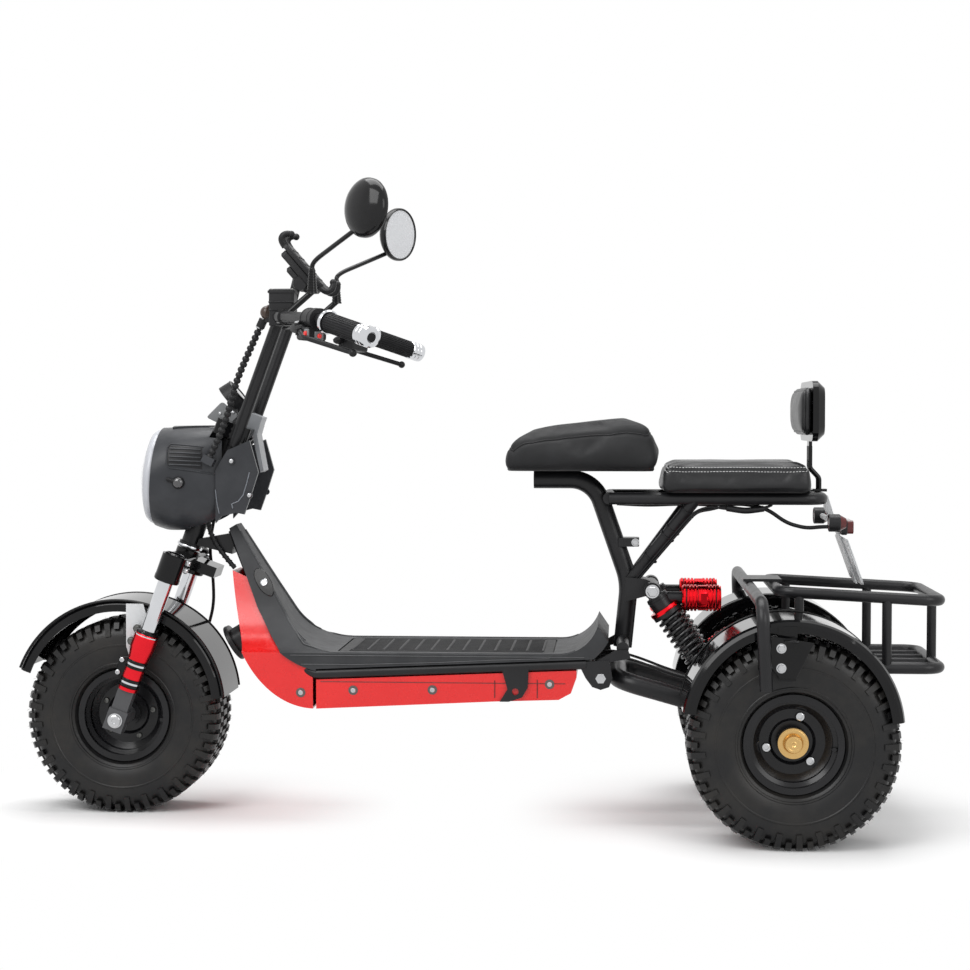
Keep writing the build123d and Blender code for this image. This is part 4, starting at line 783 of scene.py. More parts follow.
FRONT = front_axle * 1000
REAR = rear_axle * 1000


# ---------------------------------------------------------------- tyres
TREAD_STEPS = 58
TREAD_FOOT = 0.1735
TREAD_TOP = 0.1800
TAPER = 0.86  # the top of a tread block against its foot
carcass_radius = wheel_radius - 0.0055


def tyre_profile():
    """The carcass from bead to bead: (radius, place along the axle) with its moulded rings."""
    half = [
        (0.0785, 0.0500), (0.0858, 0.0515), (0.0885, 0.0560), (0.0905, 0.0612), (0.0935, 0.0633),
        (0.0950, 0.0640), (0.0958, 0.0662), (0.0985, 0.0672), (0.0998, 0.0662), (0.1030, 0.0674),
        (0.1100, 0.0698), (0.1180, 0.0711), (0.1260, 0.0714), (0.1300, 0.0713), (0.1312, 0.0722),
        (0.1330, 0.0722), (0.1342, 0.0711), (0.1400, 0.0706), (0.1480, 0.0697), (0.1560, 0.0676),
        (0.1640, 0.0632), (0.1700, 0.0550), (0.1734, 0.0410), (0.1745, 0.0200), (0.1747, 0.0),
    ]
    return half + [(radius, -along) for radius, along in reversed(half[:-1])] + \
        [(0.0780, -0.030), (0.0780, 0.030)]


def knob(points, low, high):
    """A tread block: an outline drawn round the tyre and along the axle, standing on the carcass.

    Its base lies at one set of radii and its smaller top at another, corner by corner."""
    middle_round = sum(p[0] for p in points) / len(points)
    middle_along = sum(p[1] for p in points) / len(points)
    rings = []
    for radii, size in ((low, 1.0), (high, TAPER)):
        ring = []
        for (around, along), radius in zip(points, radii):
            a = middle_round + (around - middle_round) * size
            y = middle_along + (along - middle_along) * size
            angle = a / carcass_radius
            ring.append(Vector((radius * cos(angle), radius * sin(angle), y)))
        rings.append(ring)
    return Form().skin(rings).done()


def side_lug(reach, width):
    """A block that wraps the tyre's shoulder and runs down its wall."""
    rings = []
    outer = [(0.1725, 0.0415), (TREAD_TOP, 0.0440), (0.1792, 0.0572), (0.1738, 0.0665),
             (0.1740 - reach, 0.0722), (0.1728 - reach, 0.0680), (0.1640, 0.0600)]
    for side in (-0.5, 0.5):
        ring = []
        for i, (radius, along) in enumerate(outer):
            share = 1.0 if i in (0, 5, 6) else TAPER
            angle = side * width * share / carcass_radius
            ring.append(Vector((radius * cos(angle), radius * sin(angle), along)))
        rings.append(ring)
    return Form().skin(rings).done()


def whisker(radius, along, lean):
    """A thin rubber hair left by the mould."""
    base = Vector((radius - 0.001, 0, along))
    tip = base + Vector((cos(lean), sin(lean) * 0.4, sin(lean))) * 0.0042
    return Form().tube([base, base.lerp(tip, 0.5), tip], lambda t: 0.00032 * (1 - 0.75 * t), 3).done()


def flipped(mesh):
    """The same block on the tyre's other shoulder."""
    other = mesh.copy()
    other.transform(Matrix.Scale(-1, 4, (0, 0, 1)))
    other.flip_normals()
    return other


def tyre_mesh(finish):
    """The whole tyre about the z axis: carcass, three kinds of block and the mould's hairs."""
    parts = [Form().lathe(tyre_profile(), ORIGIN, 120, closed=True).done()]
    pitch = 2 * pi / TREAD_STEPS
    centre_block = knob([(-0.0060, -0.0135), (0.0060, -0.0165), (0.0068, 0.0), (0.0060, 0.0165),
                         (-0.0060, 0.0135), (-0.0046, 0.0)], [TREAD_FOOT] * 6, [TREAD_TOP] * 6)
    inner_block = knob([(-0.0063, 0.0215), (0.0055, 0.0195), (0.0066, 0.0385), (-0.0048, 0.0400)],
                       [TREAD_FOOT, TREAD_FOOT, 0.1720, 0.1720], [TREAD_TOP, TREAD_TOP, 0.1797, 0.1797])
    parts.append(copies_round(centre_block, finish, TREAD_STEPS))
    for hand in (1, -1):
        for block, count, start in ((inner_block, TREAD_STEPS, pitch / 2),
                                    (side_lug(0.0240, 0.0124), TREAD_STEPS // 2, 0.0),
                                    (side_lug(0.0110, 0.0116), TREAD_STEPS // 2, pitch)):
            shape = flipped(block) if hand < 0 else block
            parts.append(copies_round(shape, finish, count, ORIGIN, start))
    for radius, along, lean, count, start in (
            (TREAD_TOP, 0.050, 0.5, 31, 0.05), (0.1798, 0.030, 0.1, 23, 0.02),
            (0.1785, 0.062, 0.9, 37, 0.03), (0.160, 0.0712, 1.3, 19, 0.07)):
        hair = whisker(radius, along, lean)
        parts.append(copies_round(hair, finish, count, ORIGIN, start))
        parts.append(copies_round(flipped(hair), finish, count, ORIGIN, start + 0.04))
    return joined(*parts)


tyre_form = tyre_mesh(finishes["tyre_black"])
wheels = (("front_tyre", front_axle, "front_wheel", 1),
          ("rear_tyre_left", rear_axle + half_track, "rear_wheel_left", 1),
          ("rear_tyre_right", rear_axle - half_track, "rear_wheel_right", -1))
for node, centre, body, _ in wheels:
    mesh = tyre_form.copy()
    mesh.transform(basis(centre, (0, 1, 0)))
    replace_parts(piece(node + "_tread", mesh, "tyre_black", body, radians(32)), node)

# ---------------------------------------------------------------- rims and hubs
for node, centre, body, hand in wheels:
    lips = Form()
    place = basis(centre, (0, 1, 0))
    for side in (1, -1):
        rows = [(0.0835 + 0.0022 * cos(a), side * 0.0540 + 0.0020 * sin(a))
                for a in (2 * pi * k / 10 for k in range(10))]
        lips.lathe(rows, place, 96, closed=True)
        rows = [(0.0672, side * 0.0280), (0.0690, side * 0.0272), (0.0700, side * 0.0290),
                (0.0685, side * 0.0310), (0.0668, side * 0.0300)]
        lips.lathe(rows, place, 96, closed=True)
    piece(node + "_rim_lips", lips, "rim_black", body, BENT)
    stem = Form().lathe([
        (0.0, 0.0), (0.0062, 0.0), (0.0062, 0.003), (0.0040, 0.006), (0.0040, 0.013), (0.0046, 0.0135),
        (0.0046, 0.0195), (0.0038, 0.021), (0.0, 0.021)],
        basis(centre + mm(-72, hand * 26, -9), Vector((0.16, hand, 0.0)).normalized()), 20)
    piece(node + "_valve", stem, "rim_black", body)

for name, hand in (("left", 1), ("right", -1)):
    centre = rear_axle + half_track * hand
    spots = [(centre + mm(-45 * cos(turn), hand * 19, 45 * sin(turn)), (0, hand, 0))
             for turn in (radians(73), radians(193), radians(313))]
    bolts("rear_wheel_bolts_" + name, bolt_head(0.0085, 0.006), spots, "rear_wheel_" + name)
    nut = Form()
    nut.lathe([(0.0, -0.001), (0.0135, -0.001), (0.0135, 0.0004), (0.0105, 0.001), (0.0095, 0.0006),
               (0.0060, 0.0006), (0.0040, 0.0014), (0.0022, 0.0002), (0.0, 0.0002)],
              basis(centre + mm(0, hand * 54, 0), (0, hand, 0)), 32)
    nut.lathe([(0.0145, -0.0005), (0.0240, -0.0005), (0.0240, 0.0006), (0.0225, 0.0011),
               (0.0165, 0.0011), (0.0150, 0.0004)],
              basis(centre + mm(0, hand * 42, 0), (0, hand, 0)), 48, closed=True)
    piece("hub_nut_" + name, nut, "hub_bronze", "rear_wheel_" + name, MACHINED)
spots = [(front_axle + mm(47 * cos(turn), 19, 47 * sin(turn)), (0, 1, 0))
         for turn in (2 * pi * k / 5 + 0.5 for k in range(5))]
bolts("front_wheel_bolts", bolt_head(0.0055, 0.004), spots, "front_wheel", dark_zinc, "rim_black")

# ---------------------------------------------------------------- fork
LEG = 104.0
bands = Form()
trim = Form()
for hand in (1, -1):
    place = basis(on_steer(0, hand * LEG, 0), steer_way)
    for low, high in ((0.1005, 0.1155), (0.0655, 0.0805)):
        middle = (low + high) / 2
        bands.lathe([(0.0140, low), (0.0186, low), (0.0190, low + 0.001), (0.0190, middle - 0.003),
                     (0.0182, middle - 0.0022), (0.0182, middle + 0.0022), (0.0190, middle + 0.003),
                     (0.0190, high - 0.001), (0.0186, high), (0.0140, high)], place, 40)
    bands.lathe([(0.0142, 0.1670), (0.0205, 0.1670), (0.0212, 0.1685), (0.0205, 0.1712),
                 (0.0170, 0.1730), (0.0146, 0.1742)], place, 40)
    for middle in (0.0730, 0.1080):
        trim.lathe([(0.0180, middle - 0.0020), (0.0187, middle - 0.0018), (0.0187, middle + 0.0018),
                    (0.0180, middle + 0.0020)], place, 40)
    trim.lathe([(0.0216, 0.1628), (0.0229, 0.1632), (0.0229, 0.1652), (0.0216, 0.1656)], place, 40)
piece("fork_bands", bands, "gloss_black", "steering", MACHINED)
piece("fork_rings", trim, "chrome", "steering", MACHINED)

braces = Form()
corners = [on_steer(forward, 0, up) for forward, up in ((14, 74), (30, 80), (33, 112), (14, 118))]
flat = rounded_outline([(corner.x, corner.z) for corner in corners], 0.005)
for hand in (1, -1):
    place = Matrix(((1, 0, 0, 0), (0, 0, -1, hand * 0.106), (0, 1, 0, 0), (0, 0, 0, 1)))
    braces.slab(flat, place, -0.0025, 0.0025, 0.0006)
piece("fork_braces", braces, "gloss_black", "steering")
bolts("fork_brace_bolts", bolt_head(0.0052, 0.0045, 0.4),
      [(on_steer(27, hand * 108.5, up), (0, hand, 0)) for hand in (1, -1) for up in (84, 108)], "steering")

ends = Form()
for hand in (1, -1):
    place = basis(front_axle + mm(0, hand * 119, 0), (0, hand, 0))
    ends.lathe([(0.0, 0.0), (0.0135, 0.0), (0.0135, 0.0018), (0.0110, 0.0022), (0.0108, 0.0062),
                (0.0085, 0.0076), (0.0045, 0.0078), (0.0040, 0.0066), (0.0, 0.0066)], place, 32)
piece("axle_nuts", ends, "chrome", "steering", MACHINED, zinc)

caps = Form()
for hand in (1, -1):
    place = basis(on_steer(0, hand * LEG, 0), steer_way)
    caps.lathe([(0.0, 0.3185), (0.0190, 0.3185), (0.0190, 0.3212), (0.0165, 0.3232), (0.0150, 0.3232),
                (0.0125, 0.3215), (0.0, 0.3215)], place, 36)
    caps.lathe([(0.0150, 0.2700), (0.0222, 0.2700), (0.0236, 0.2720), (0.0236, 0.2790), (0.0226, 0.2805)],
               place, 40)
piece("fork_caps", caps, "gloss_black", "steering", MACHINED)
bolts("crown_bolts", bolt_head(0.0058, 0.006),
      [(on_steer(-23, hand * 88, up), -steer_forward) for hand in (1, -1) for up in (298, 312)], "steering")
collar = Form().lathe([(0.0205, 0.3300), (0.0236, 0.3300), (0.0240, 0.3310), (0.0240, 0.3330),
                       (0.0236, 0.3340), (0.0205, 0.3340)], basis(front_axle, steer_way), 40)
piece("head_ring", collar, "chrome", "frame", MACHINED)

# ---------------------------------------------------------------- lamp housing
shell = Skin("headlamp_nacelle")
vents = Form()
vent_frames = Form()
vent_shade_sheet = Form()
# a dark sheet laid almost flush under the vent slats: painted shade standing in for the shadow inside the vents
shell.patch(vent_shade_sheet, [(549, 680), (486, 676), (486, 637), (549, 645)], -0.6, 0.35)
for k in range(5):
    z = 675 - 7.2 * k
    shell.bead(vents, [(546, z), (520, z - 0.6), (489, z - 2.0)], 1.7, 0.25)
shell.bead(vent_frames, [(551, 676), (546, 683), (515, 681), (484, 678)], 1.3, 0.3)
shell.bead(vent_frames, [(551, 676), (551, 648), (545, 640), (500, 634), (464, 628)], 1.6, 0.3)
for form in (vents, vent_frames, vent_shade_sheet):
    form.mirrored()
piece("lamp_vents", vents, "nacelle_slate", "steering")
piece("lamp_vent_frames", vent_frames, "nacelle_slate", "steering")
# the dark sheet under the vents is painted shade
piece("lamp_vent_beds", vent_shade_sheet, "control_black", "steering")

panel = Form()
shell.patch(panel, [(552, -34), (484, -38), (484, 38), (552, 34)], -0.5, 3.0, 12, from_top=True)
piece("lamp_top_panel", panel, "nacelle_slate", "steering", MACHINED)

signals = Form()
signal_glass = Form()
for hand in (1, -1):
    spot, normal = shell.from_side(529, 613, 0.0, hand)
    place = basis(spot - normal * 0.002, normal)
    signals.lathe([(0.0, 0.0), (0.0115, 0.0), (0.0115, 0.004), (0.0095, 0.0065), (0.0085, 0.0065)],
                  place, 32)
    signal_glass.lathe([(0.0, 0.004), (0.0088, 0.004), (0.0088, 0.0068), (0.0070, 0.0086),
                        (0.0035, 0.0097), (0.0, 0.0100)], place, 32)
    stalk_end = shell.from_side(548, 619, 3.0, hand)[0]
    signals.tube([spot + normal * 0.002, stalk_end], 0.0034, 12)
    signals.ball(stalk_end, 0.0036, 6)
piece("signal_cups", signals, "control_black", "steering")
signal_finish = moulded("signal glass", (0.03, 0.03, 0.032), (0.06, 0.06, 0.06), 0.08, 60.0, 0.00001,
                        coat_weight=1.0)
piece("signal_glasses", signal_glass, "lens", "steering", CREASE, signal_finish)

# the lamp: a pale rim ring round a clear dome over a faceted reflector
lamp_lean = radians(4.4)
lamp_way = Vector((cos(lamp_lean), 0, sin(lamp_lean)))
lamp_place = basis(mm(FRONT.x - 60, 0, 621), lamp_way)
bezel = Form().lathe([(0.0775, 0.0004), (0.0872, 0.0004), (0.0885, 0.0030), (0.0868, 0.0095),
                      (0.0822, 0.0150), (0.0790, 0.0162), (0.0770, 0.0140)], lamp_place, 96, closed=True)
piece("lamp_bezel", bezel, "cover_grey", "steering", BENT,
      moulded("bezel silver", (0.42, 0.43, 0.46), (0.5, 0.51, 0.54), 0.22, 200.0, 0.00003))
bowl = Form().lathe([(0.0, 0.0012), (0.020, 0.0018), (0.045, 0.0040), (0.066, 0.0080), (0.0755, 0.0112),
                     (0.0755, 0.0004), (0.0, 0.0004)], lamp_place, 64)
for k in range(3):
    radius = 0.026 + 0.021 * k
    bowl.lathe([(radius, 0.0030 + 0.0022 * k), (radius + 0.0022, 0.0062 + 0.0024 * k),
                (radius + 0.0045, 0.0030 + 0.0022 * k)], lamp_place, 64, closed=True)
piece("lamp_reflector", bowl, "chrome", "steering", MACHINED)
piece("lamp_led", Form().ball(lamp_place @ Vector((0, 0, 0.009)), 0.0105, 10), "lens", "steering", CREASE,
      moulded("led cover", (0.75, 0.75, 0.7), (0.8, 0.8, 0.76), 0.2, 200.0, 0.00002))
glass = Finish("clear lamp cover", (0.86, 0.87, 0.9), 0.04, coat_weight=0.4)
glass.set("Alpha", (glass.noise(60.0) - 0.5) * 0.08 + 0.34)
glass.bump(glass.noise(20.0, 1.0), 0.0001)
dome = Form()
dome.lathe([(0.0788, 0.0120), (0.0780, 0.0145), (0.0700, 0.0190), (0.0580, 0.0238), (0.0440, 0.0280),
            (0.0290, 0.0312), (0.0145, 0.0332), (0.0, 0.0338), (0.0, 0.0322), (0.0145, 0.0316),
            (0.0290, 0.0296), (0.0440, 0.0264), (0.0580, 0.0222), (0.0700, 0.0174), (0.0770, 0.0120)],
           lamp_place, 96)
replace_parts(piece("lamp_cover", dome, "lens", "steering", SEWN, glass.material), "headlamp_lens")

sides_skin = Skin("nacelle_sides")
ridge = Form()
sides_skin.bead(ridge, [(430, 566), (432, 574), (420, 579), (411, 590), (404, 612), (399, 632)], 1.1, 0.3)
sides_skin.bead(ridge, [(462, 600), (459, 575), (455, 556)], 0.9, 0.3)
ridge.mirrored()
# the ridges are coloured a far lighter slate than the housing they stand on: a painted highlight along them
piece("side_cover_ridges", ridge, "nacelle_slate", "steering", CREASE,
      moulded("ridge painted highlight slate", (0.13, 0.14, 0.16), (0.2, 0.21, 0.23), 0.3))
bolts("side_cover_screws", bolt_head(0.0042, 0.0026, 0.35),
      both_sides([(FRONT.x - 210, 87.6, 652), (FRONT.x - 243, 87.6, 590)]), "steering")

# ---------------------------------------------------------------- hoses
def length_of(line):
    return sum((after - before).length for before, after in zip(line, line[1:]))


def ribbed_hose(line, radius, pitch):
    """A corrugated hose: a plain core with rings along it."""
    length = length_of(line)
    core = Form().tube(spaced(line, int(length / 0.008)), radius * 0.62, 12)
    ring = Form().lathe([
        (0.0, -pitch * 0.47), (radius * 0.58, -pitch * 0.46), (radius * 0.90, -pitch * 0.30), (radius, 0.0),
        (radius * 0.90, pitch * 0.30), (radius * 0.58, pitch * 0.46), (0.0, pitch * 0.47)], ORIGIN, 16)
    rings = copies_along(ring.done(), finishes["control_black"], line, int(length / pitch))
    return joined(core.done(), rings)


def wrapped_cable(line, radius, pitch):
    """A bundle of wires in a spiral wrap."""
    length = length_of(line)
    form = Form().tube(spaced(line, int(length / 0.006)), radius * 0.78, 10)
    turns = length / pitch
    count = int(turns * 14)
    spiral = []
    for k, (point, side, over, _) in enumerate(carried_frames(spaced(line, count))):
        angle = 2 * pi * turns * k / (count - 1)
        spiral.append(point + (side * cos(angle) + over * sin(angle)) * (radius * 0.82))
    return form.tube(spiral, radius * 0.2, 6)


hose_line = mm_line([(375.4, 102, 894.5), (398, 97, 848), (421, 94, 797), (434, 93, 748), (449, 93, 703),
                     (470, 95, 660)])
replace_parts(piece("riser_hose", ribbed_hose(hose_line, 0.0068, 0.0100), "control_black", "steering", BENT),
            "riser_loom")
harness_line = mm_line([(FRONT.x - 204, 28, 453), (FRONT.x - 183, 25.3, 476), (FRONT.x - 164, 25.3, 503),
                        (FRONT.x - 153, 27, 534), (FRONT.x - 155, 29, 566)])
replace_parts(piece("neck_harness", wrapped_cable(harness_line, 0.0055, 0.010), "control_black", "frame", BENT),
            "frame_harness")

# ---------------------------------------------------------------- seats
seat_matte = moulded("seat matte vinyl", (0.011, 0.0112, 0.012), (0.022, 0.0225, 0.024), 0.6, 900.0, 0.00022,
                     specular_ior_level=0.24)
seat_gloss = moulded("seat smooth vinyl", (0.009, 0.0092, 0.010), (0.02, 0.02, 0.021), 0.36, 650.0, 0.00016,
                     specular_ior_level=0.3)
thread = moulded("pale thread", (0.55, 0.55, 0.55), (0.7, 0.7, 0.7), 0.6, 2500.0, 0.0001)
pad_shell = moulded("seat pan plastic", (0.012, 0.012, 0.013), (0.03, 0.03, 0.031), 0.5)


def crowned(outline, half, base, edge):
    """A closed cushion form: a side view carried across the seat, its edges drawn in at the sides."""
    rows = [(half - edge * (1 - cos(turn)), edge * (1 - sin(turn))) for turn in
            (pi / 2 * k / 5 for k in range(6))]
    stations = [(-y, inset) for y, inset in rows] + [(y, inset) for y, inset in reversed(rows)]
    rings = []
    for y, inset in stations:
        ring = inset_outline(outline, inset) if inset > 1e-6 else outline
        rings.append([Vector((x, y, max(z, base))) for x, z in ring])
    return Form().skin(rings).done()


def settled(item):
    """An object as its modifiers leave it."""
    return item.evaluated_get(bpy.context.evaluated_depsgraph_get())


CLOTH_STEPS = 20


def stuffed(mesh, base, voxel, pressure, cap, flat_axis=2):
    """Swell a form with cloth under pressure, its underside held, and return the plain mesh."""
    item = bpy.data.objects.new("pad", mesh)
    bpy.context.collection.objects.link(item)
    remesh = item.modifiers.new("remesh", "REMESH")
    remesh.mode = "VOXEL"
    remesh.voxel_size = voxel
    bpy.context.view_layer.update()
    even = bpy.data.meshes.new_from_object(settled(item))
    bpy.data.objects.remove(item)
    work = bmesh.new()
    work.from_mesh(even)
    for _ in range(4):
        bmesh.ops.smooth_vert(work, verts=work.verts, factor=0.5, use_axis_x=True, use_axis_y=True,
                              use_axis_z=True)
    work.to_mesh(even)
    work.free()
    pad = bpy.data.objects.new("pad", even)
    bpy.context.collection.objects.link(pad)
    start = [vertex.co.copy() for vertex in even.vertices]
    held = pad.vertex_groups.new(name="held")
    held.add([i for i, co in enumerate(start) if co[flat_axis] < base + 0.006], 1.0, "REPLACE")
    cloth = pad.modifiers.new("cloth", "CLOTH")
    cloth.settings.quality = 5
    cloth.settings.mass = 0.3
    cloth.settings.tension_stiffness = 15
    cloth.settings.compression_stiffness = 15
    cloth.settings.bending_stiffness = 0.5
    cloth.settings.use_pressure = True
    cloth.settings.uniform_pressure_force = pressure
    cloth.settings.vertex_group_mass = "held"
    cloth.settings.effector_weights.gravity = 0
    cloth.point_cache.frame_start = 1
    cloth.point_cache.frame_end = CLOTH_STEPS
    for moment in range(1, CLOTH_STEPS + 1):
        bpy.context.scene.frame_set(moment)
    swollen = settled(pad)
    moved = [vertex.co.copy() for vertex in swollen.to_mesh().vertices]
    swollen.to_mesh_clear()
    pad.modifiers.remove(cloth)
    for vertex, before, after in zip(even.vertices, start, moved):
        step = after - before
        if step.length > cap:
            step *= cap / step.length
        vertex.co = before + step
    bpy.context.scene.frame_set(1)
    smooth = pad.modifiers.new("smooth", "SUBSURF")
    smooth.levels = 1
    smooth.render_levels = 1
    bpy.context.view_layer.update()
    result = bpy.data.meshes.new_from_object(settled(pad))
    bpy.data.objects.remove(pad)
    return result


def sew(mesh, line, depth, width):
    """Pull the surface in along a seam."""
    near = KDTree(len(line))
    for i, point in enumerate(line):
        near.insert(point, i)
    near.balance()
    moves = []
    for vertex in mesh.vertices:
        _, _, distance = near.find(vertex.co)
        moves.append(vertex.normal * (-depth * exp(-(distance / width) ** 2)) if distance < 3 * width
                     else Vector((0, 0, 0)))
    for vertex, move in zip(mesh.vertices, moves):
        vertex.co = vertex.co + move


def crease(mesh, height, scale):
    """Faint uneven folds over the whole of a cushion."""
    for vertex in mesh.vertices:
        vertex.co = vertex.co + vertex.normal * (height * noise.noise(vertex.co * scale))


def fit_box(mesh, node):
    """Keep a cushion inside its solid's box, 2 mm proud at most."""
    low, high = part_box(node)
    for vertex in mesh.vertices:
        for k in range(3):
            vertex.co[k] = min(max(vertex.co[k], low[k] - 0.002), high[k] + 0.002)


class Surface:
    """A finished cushion's skin, for seams and stitches."""

    def __init__(self, mesh):
        surface = bmesh.new()
        surface.from_mesh(mesh)
        self.tree = BVHTree.FromBMesh(surface)
        surface.free()

    def near(self, point, lift):
        spot, normal, _, _ = self.tree.find_nearest(point)
        return spot + normal * lift


def resampled(points, step, closed=False):
    """A line's points set a step apart."""
    line = points + points[:1] if closed else points
    result = spaced(line, max(3, int(length_of(line) / step)))
    return result[:-1] if closed else result


def seam_round(run, half):
    """Points round a cushion's top, from one side's run (x, z) and half the width, in mm."""
    return [mm(x, half, z) for x, z in run] + [mm(x, -half, z) for x, z in reversed(run)]


def seam_on(mesh, points):
    """A closed seam laid on a cushion's skin."""
    surface = Surface(mesh)
    return [surface.near(point, 0.0) for point in resampled(points, 0.004, True)]


def side_view(points, radius):
    """A cushion's outline seen from the side, given in mm."""
    return rounded_outline([(x / 1000, z / 1000) for x, z in points], radius, 6)


def cushion(name, node, mesh, finish):
    item = piece(name, mesh, "seat_black", "frame", SEWN, finish)
    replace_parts(item, node)


def welt(name, mesh, seam, lift, radius, finish):
    """The piping sewn into a seam."""
    surface = Surface(mesh)
    line = [surface.near(point, lift) for point in seam]
    piece(name, Form().tube(line, radius, 8, closed=True), "seat_black", "frame", SEWN, finish)


rider_low, rider_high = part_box("rider_seat")
base_mm = rider_low.z * 1000
back_mm = REAR.x
rider_view = side_view([
    (back_mm + 501, base_mm), (back_mm + 501, base_mm + 30), (back_mm + 484, base_mm + 60),
    (back_mm + 416, base_mm + 75), (back_mm + 345, base_mm + 83), (back_mm + 277, base_mm + 90),
    (back_mm + 238, base_mm + 84), (back_mm + 224, base_mm + 18), (back_mm + 236, base_mm)], 0.016)
rider_mesh = stuffed(crowned(rider_view, 0.110, rider_low.z, 0.020), rider_low.z, 0.006, 4.0, 0.007)
crease(rider_mesh, 0.0006, 24.0)
top_run = [(back_mm + 490, base_mm + 40), (back_mm + 462, base_mm + 55), (back_mm + 415, base_mm + 63),
           (back_mm + 345, base_mm + 69), (back_mm + 280, base_mm + 72), (back_mm + 244, base_mm + 66)]
rider_seam = seam_on(rider_mesh, seam_round(top_run, 112))
sew(rider_mesh, rider_seam, 0.0022, 0.0045)
fit_box(rider_mesh, "rider_seat")
cushion("rider_cushion", "rider_seat", rider_mesh, seat_matte)
welt("rider_welt", rider_mesh, rider_seam, 0.0002, 0.0013, seat_matte)
pan_outline = rounded_outline([(rider_low.x + 0.012, -0.098), (rider_high.x - 0.008, -0.086),
                               (rider_high.x - 0.008, 0.086), (rider_low.x + 0.012, 0.098)], 0.03, 6)
piece("rider_pan", Form().slab(pan_outline, ORIGIN, rider_low.z - 0.0002, rider_low.z + 0.010, 0.002),
      "seat_black", "frame", MACHINED, pad_shell)

# the passenger's cushion has a top panel stitched in two rows
pass_low, pass_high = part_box("passenger_seat")
base_mm = pass_low.z * 1000
front_mm = pass_high.x * 1000
rear_mm = pass_low.x * 1000
pass_view = side_view([
    (front_mm - 1, base_mm), (front_mm - 3, base_mm + 42), (front_mm - 8, base_mm + 51),
    (rear_mm + 8, base_mm + 51), (rear_mm + 3, base_mm + 44), (rear_mm + 1, base_mm)], 0.009)
pass_mesh = stuffed(crowned(pass_view, 0.116, pass_low.z, 0.010), pass_low.z, 0.006, 3.0, 0.005)
crease(pass_mesh, 0.0008, 18.0)
rim_run = [(front_mm - 8, base_mm + 44), (front_mm - 60, base_mm + 46), (rear_mm + 60, base_mm + 46),
           (rear_mm + 9, base_mm + 45)]
pass_seam = seam_on(pass_mesh, seam_round(rim_run, 119))
sew(pass_mesh, pass_seam, 0.0020, 0.0035)
fit_box(pass_mesh, "passenger_seat")
surface = Surface(pass_mesh)
stitch = Form().tube([mm(0, 0, -1.7), mm(0, 0, 0), mm(0, 0, 1.7)], 0.0005, 5).done()
rows = []
for drop, inward in ((0.0042, 0.0), (-0.0042, 0.002)):
    line = [surface.near(point - Vector((0, copysign(inward, point.y), drop)), 0.0004) for point in pass_seam]
    rows.append(copies_along(stitch, thread, line, int(length_of(line + line[:1]) / 0.0056), True))
piece("passenger_stitches", joined(*rows), "seat_black", "frame", SEWN, thread)
cushion("passenger_cushion", "passenger_seat", pass_mesh, seat_gloss)
pan_outline = round_box(pass_low.x + 0.010, -0.108, pass_high.x - 0.010, 0.108, 0.02, 6)
piece("passenger_pan", Form().slab(pan_outline, ORIGIN, pass_low.z - 0.0001, pass_low.z + 0.008, 0.0018),
      "seat_black", "frame", MACHINED, pad_shell)
feet = [(Vector((pass_low.x + dx, y, pass_low.z + 0.001)), (0, 0, -1))
        for dx in (0.04, 0.13, 0.23) for y in (-0.055, 0.055)]
bolts("passenger_pan_screws", bolt_head(0.005, 0.003), feet, "frame")

# the backrest's pad bulges forward out of a gloss shell
rest_low, rest_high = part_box("backrest_pad")


def pillow(low, high, corner):
    """A pad with round corners whose front stands out in the middle; its back is flat."""
    outline = round_box(low.y, low.z, high.y, high.z, corner, 8)
    rings = []
    for share, inset in ((0.0, 0.001), (0.25, 0.0), (0.55, 0.002), (0.8, 0.010), (0.95, 0.022), (1.0, 0.034)):
        ring = inset_outline(outline, inset) if inset else outline
        rings.append([Vector((low.x + (high.x - low.x) * share, y, z)) for y, z in ring])
    return Form().skin(rings).done()


rest_form = pillow(rest_low + Vector((0, 0.005, 0.005)), rest_high - Vector((0.004, 0.005, 0.005)), 0.026)
rest_mesh = stuffed(rest_form, rest_low.x, 0.005, 3.0, 0.006, flat_axis=0)
crease(rest_mesh, 0.0005, 25.0)
edge = round_box(rest_low.y + 0.008, rest_low.z + 0.008, rest_high.y - 0.008, rest_high.z - 0.008, 0.024, 8)
rest_seam = seam_on(rest_mesh, [Vector((rest_high.x - 0.009, y, z)) for y, z in edge])
sew(rest_mesh, rest_seam, 0.0018, 0.0035)
fit_box(rest_mesh, "backrest_pad")
cushion("backrest_cushion", "backrest_pad", rest_mesh, seat_gloss)
welt("backrest_welt", rest_mesh, rest_seam, 0.0003, 0.0016, seat_gloss)

# ---------------------------------------------------------------- bars
anodised = bare_metal("bright anodised red", (0.82, 0.012, 0.02), 0.22)
switch_red = moulded("switch red", (0.7, 0.02, 0.015), (0.8, 0.05, 0.04), 0.3)
switch_grey = moulded("switch grey", (0.16, 0.165, 0.17), (0.24, 0.245, 0.25), 0.45)
grip_root = mm(235.4, 290, 898.5)
grip_tip = mm(144.4, 385, 866.5)
grip_way = (grip_tip - grip_root).normalized()
grip_end = grip_tip + grip_way * 0.008
bar_bend = mm(347.4, 115, 913.5)
bar_way = (bar_bend - grip_root).normalized()


def both(mesh, name, slot, crease=CREASE, finish=None):
    """A piece on one end of the bars and its mirror image on the other, as one."""
    piece(name, joined(mesh, mirror_image(mesh)), slot, "steering", crease, finish)


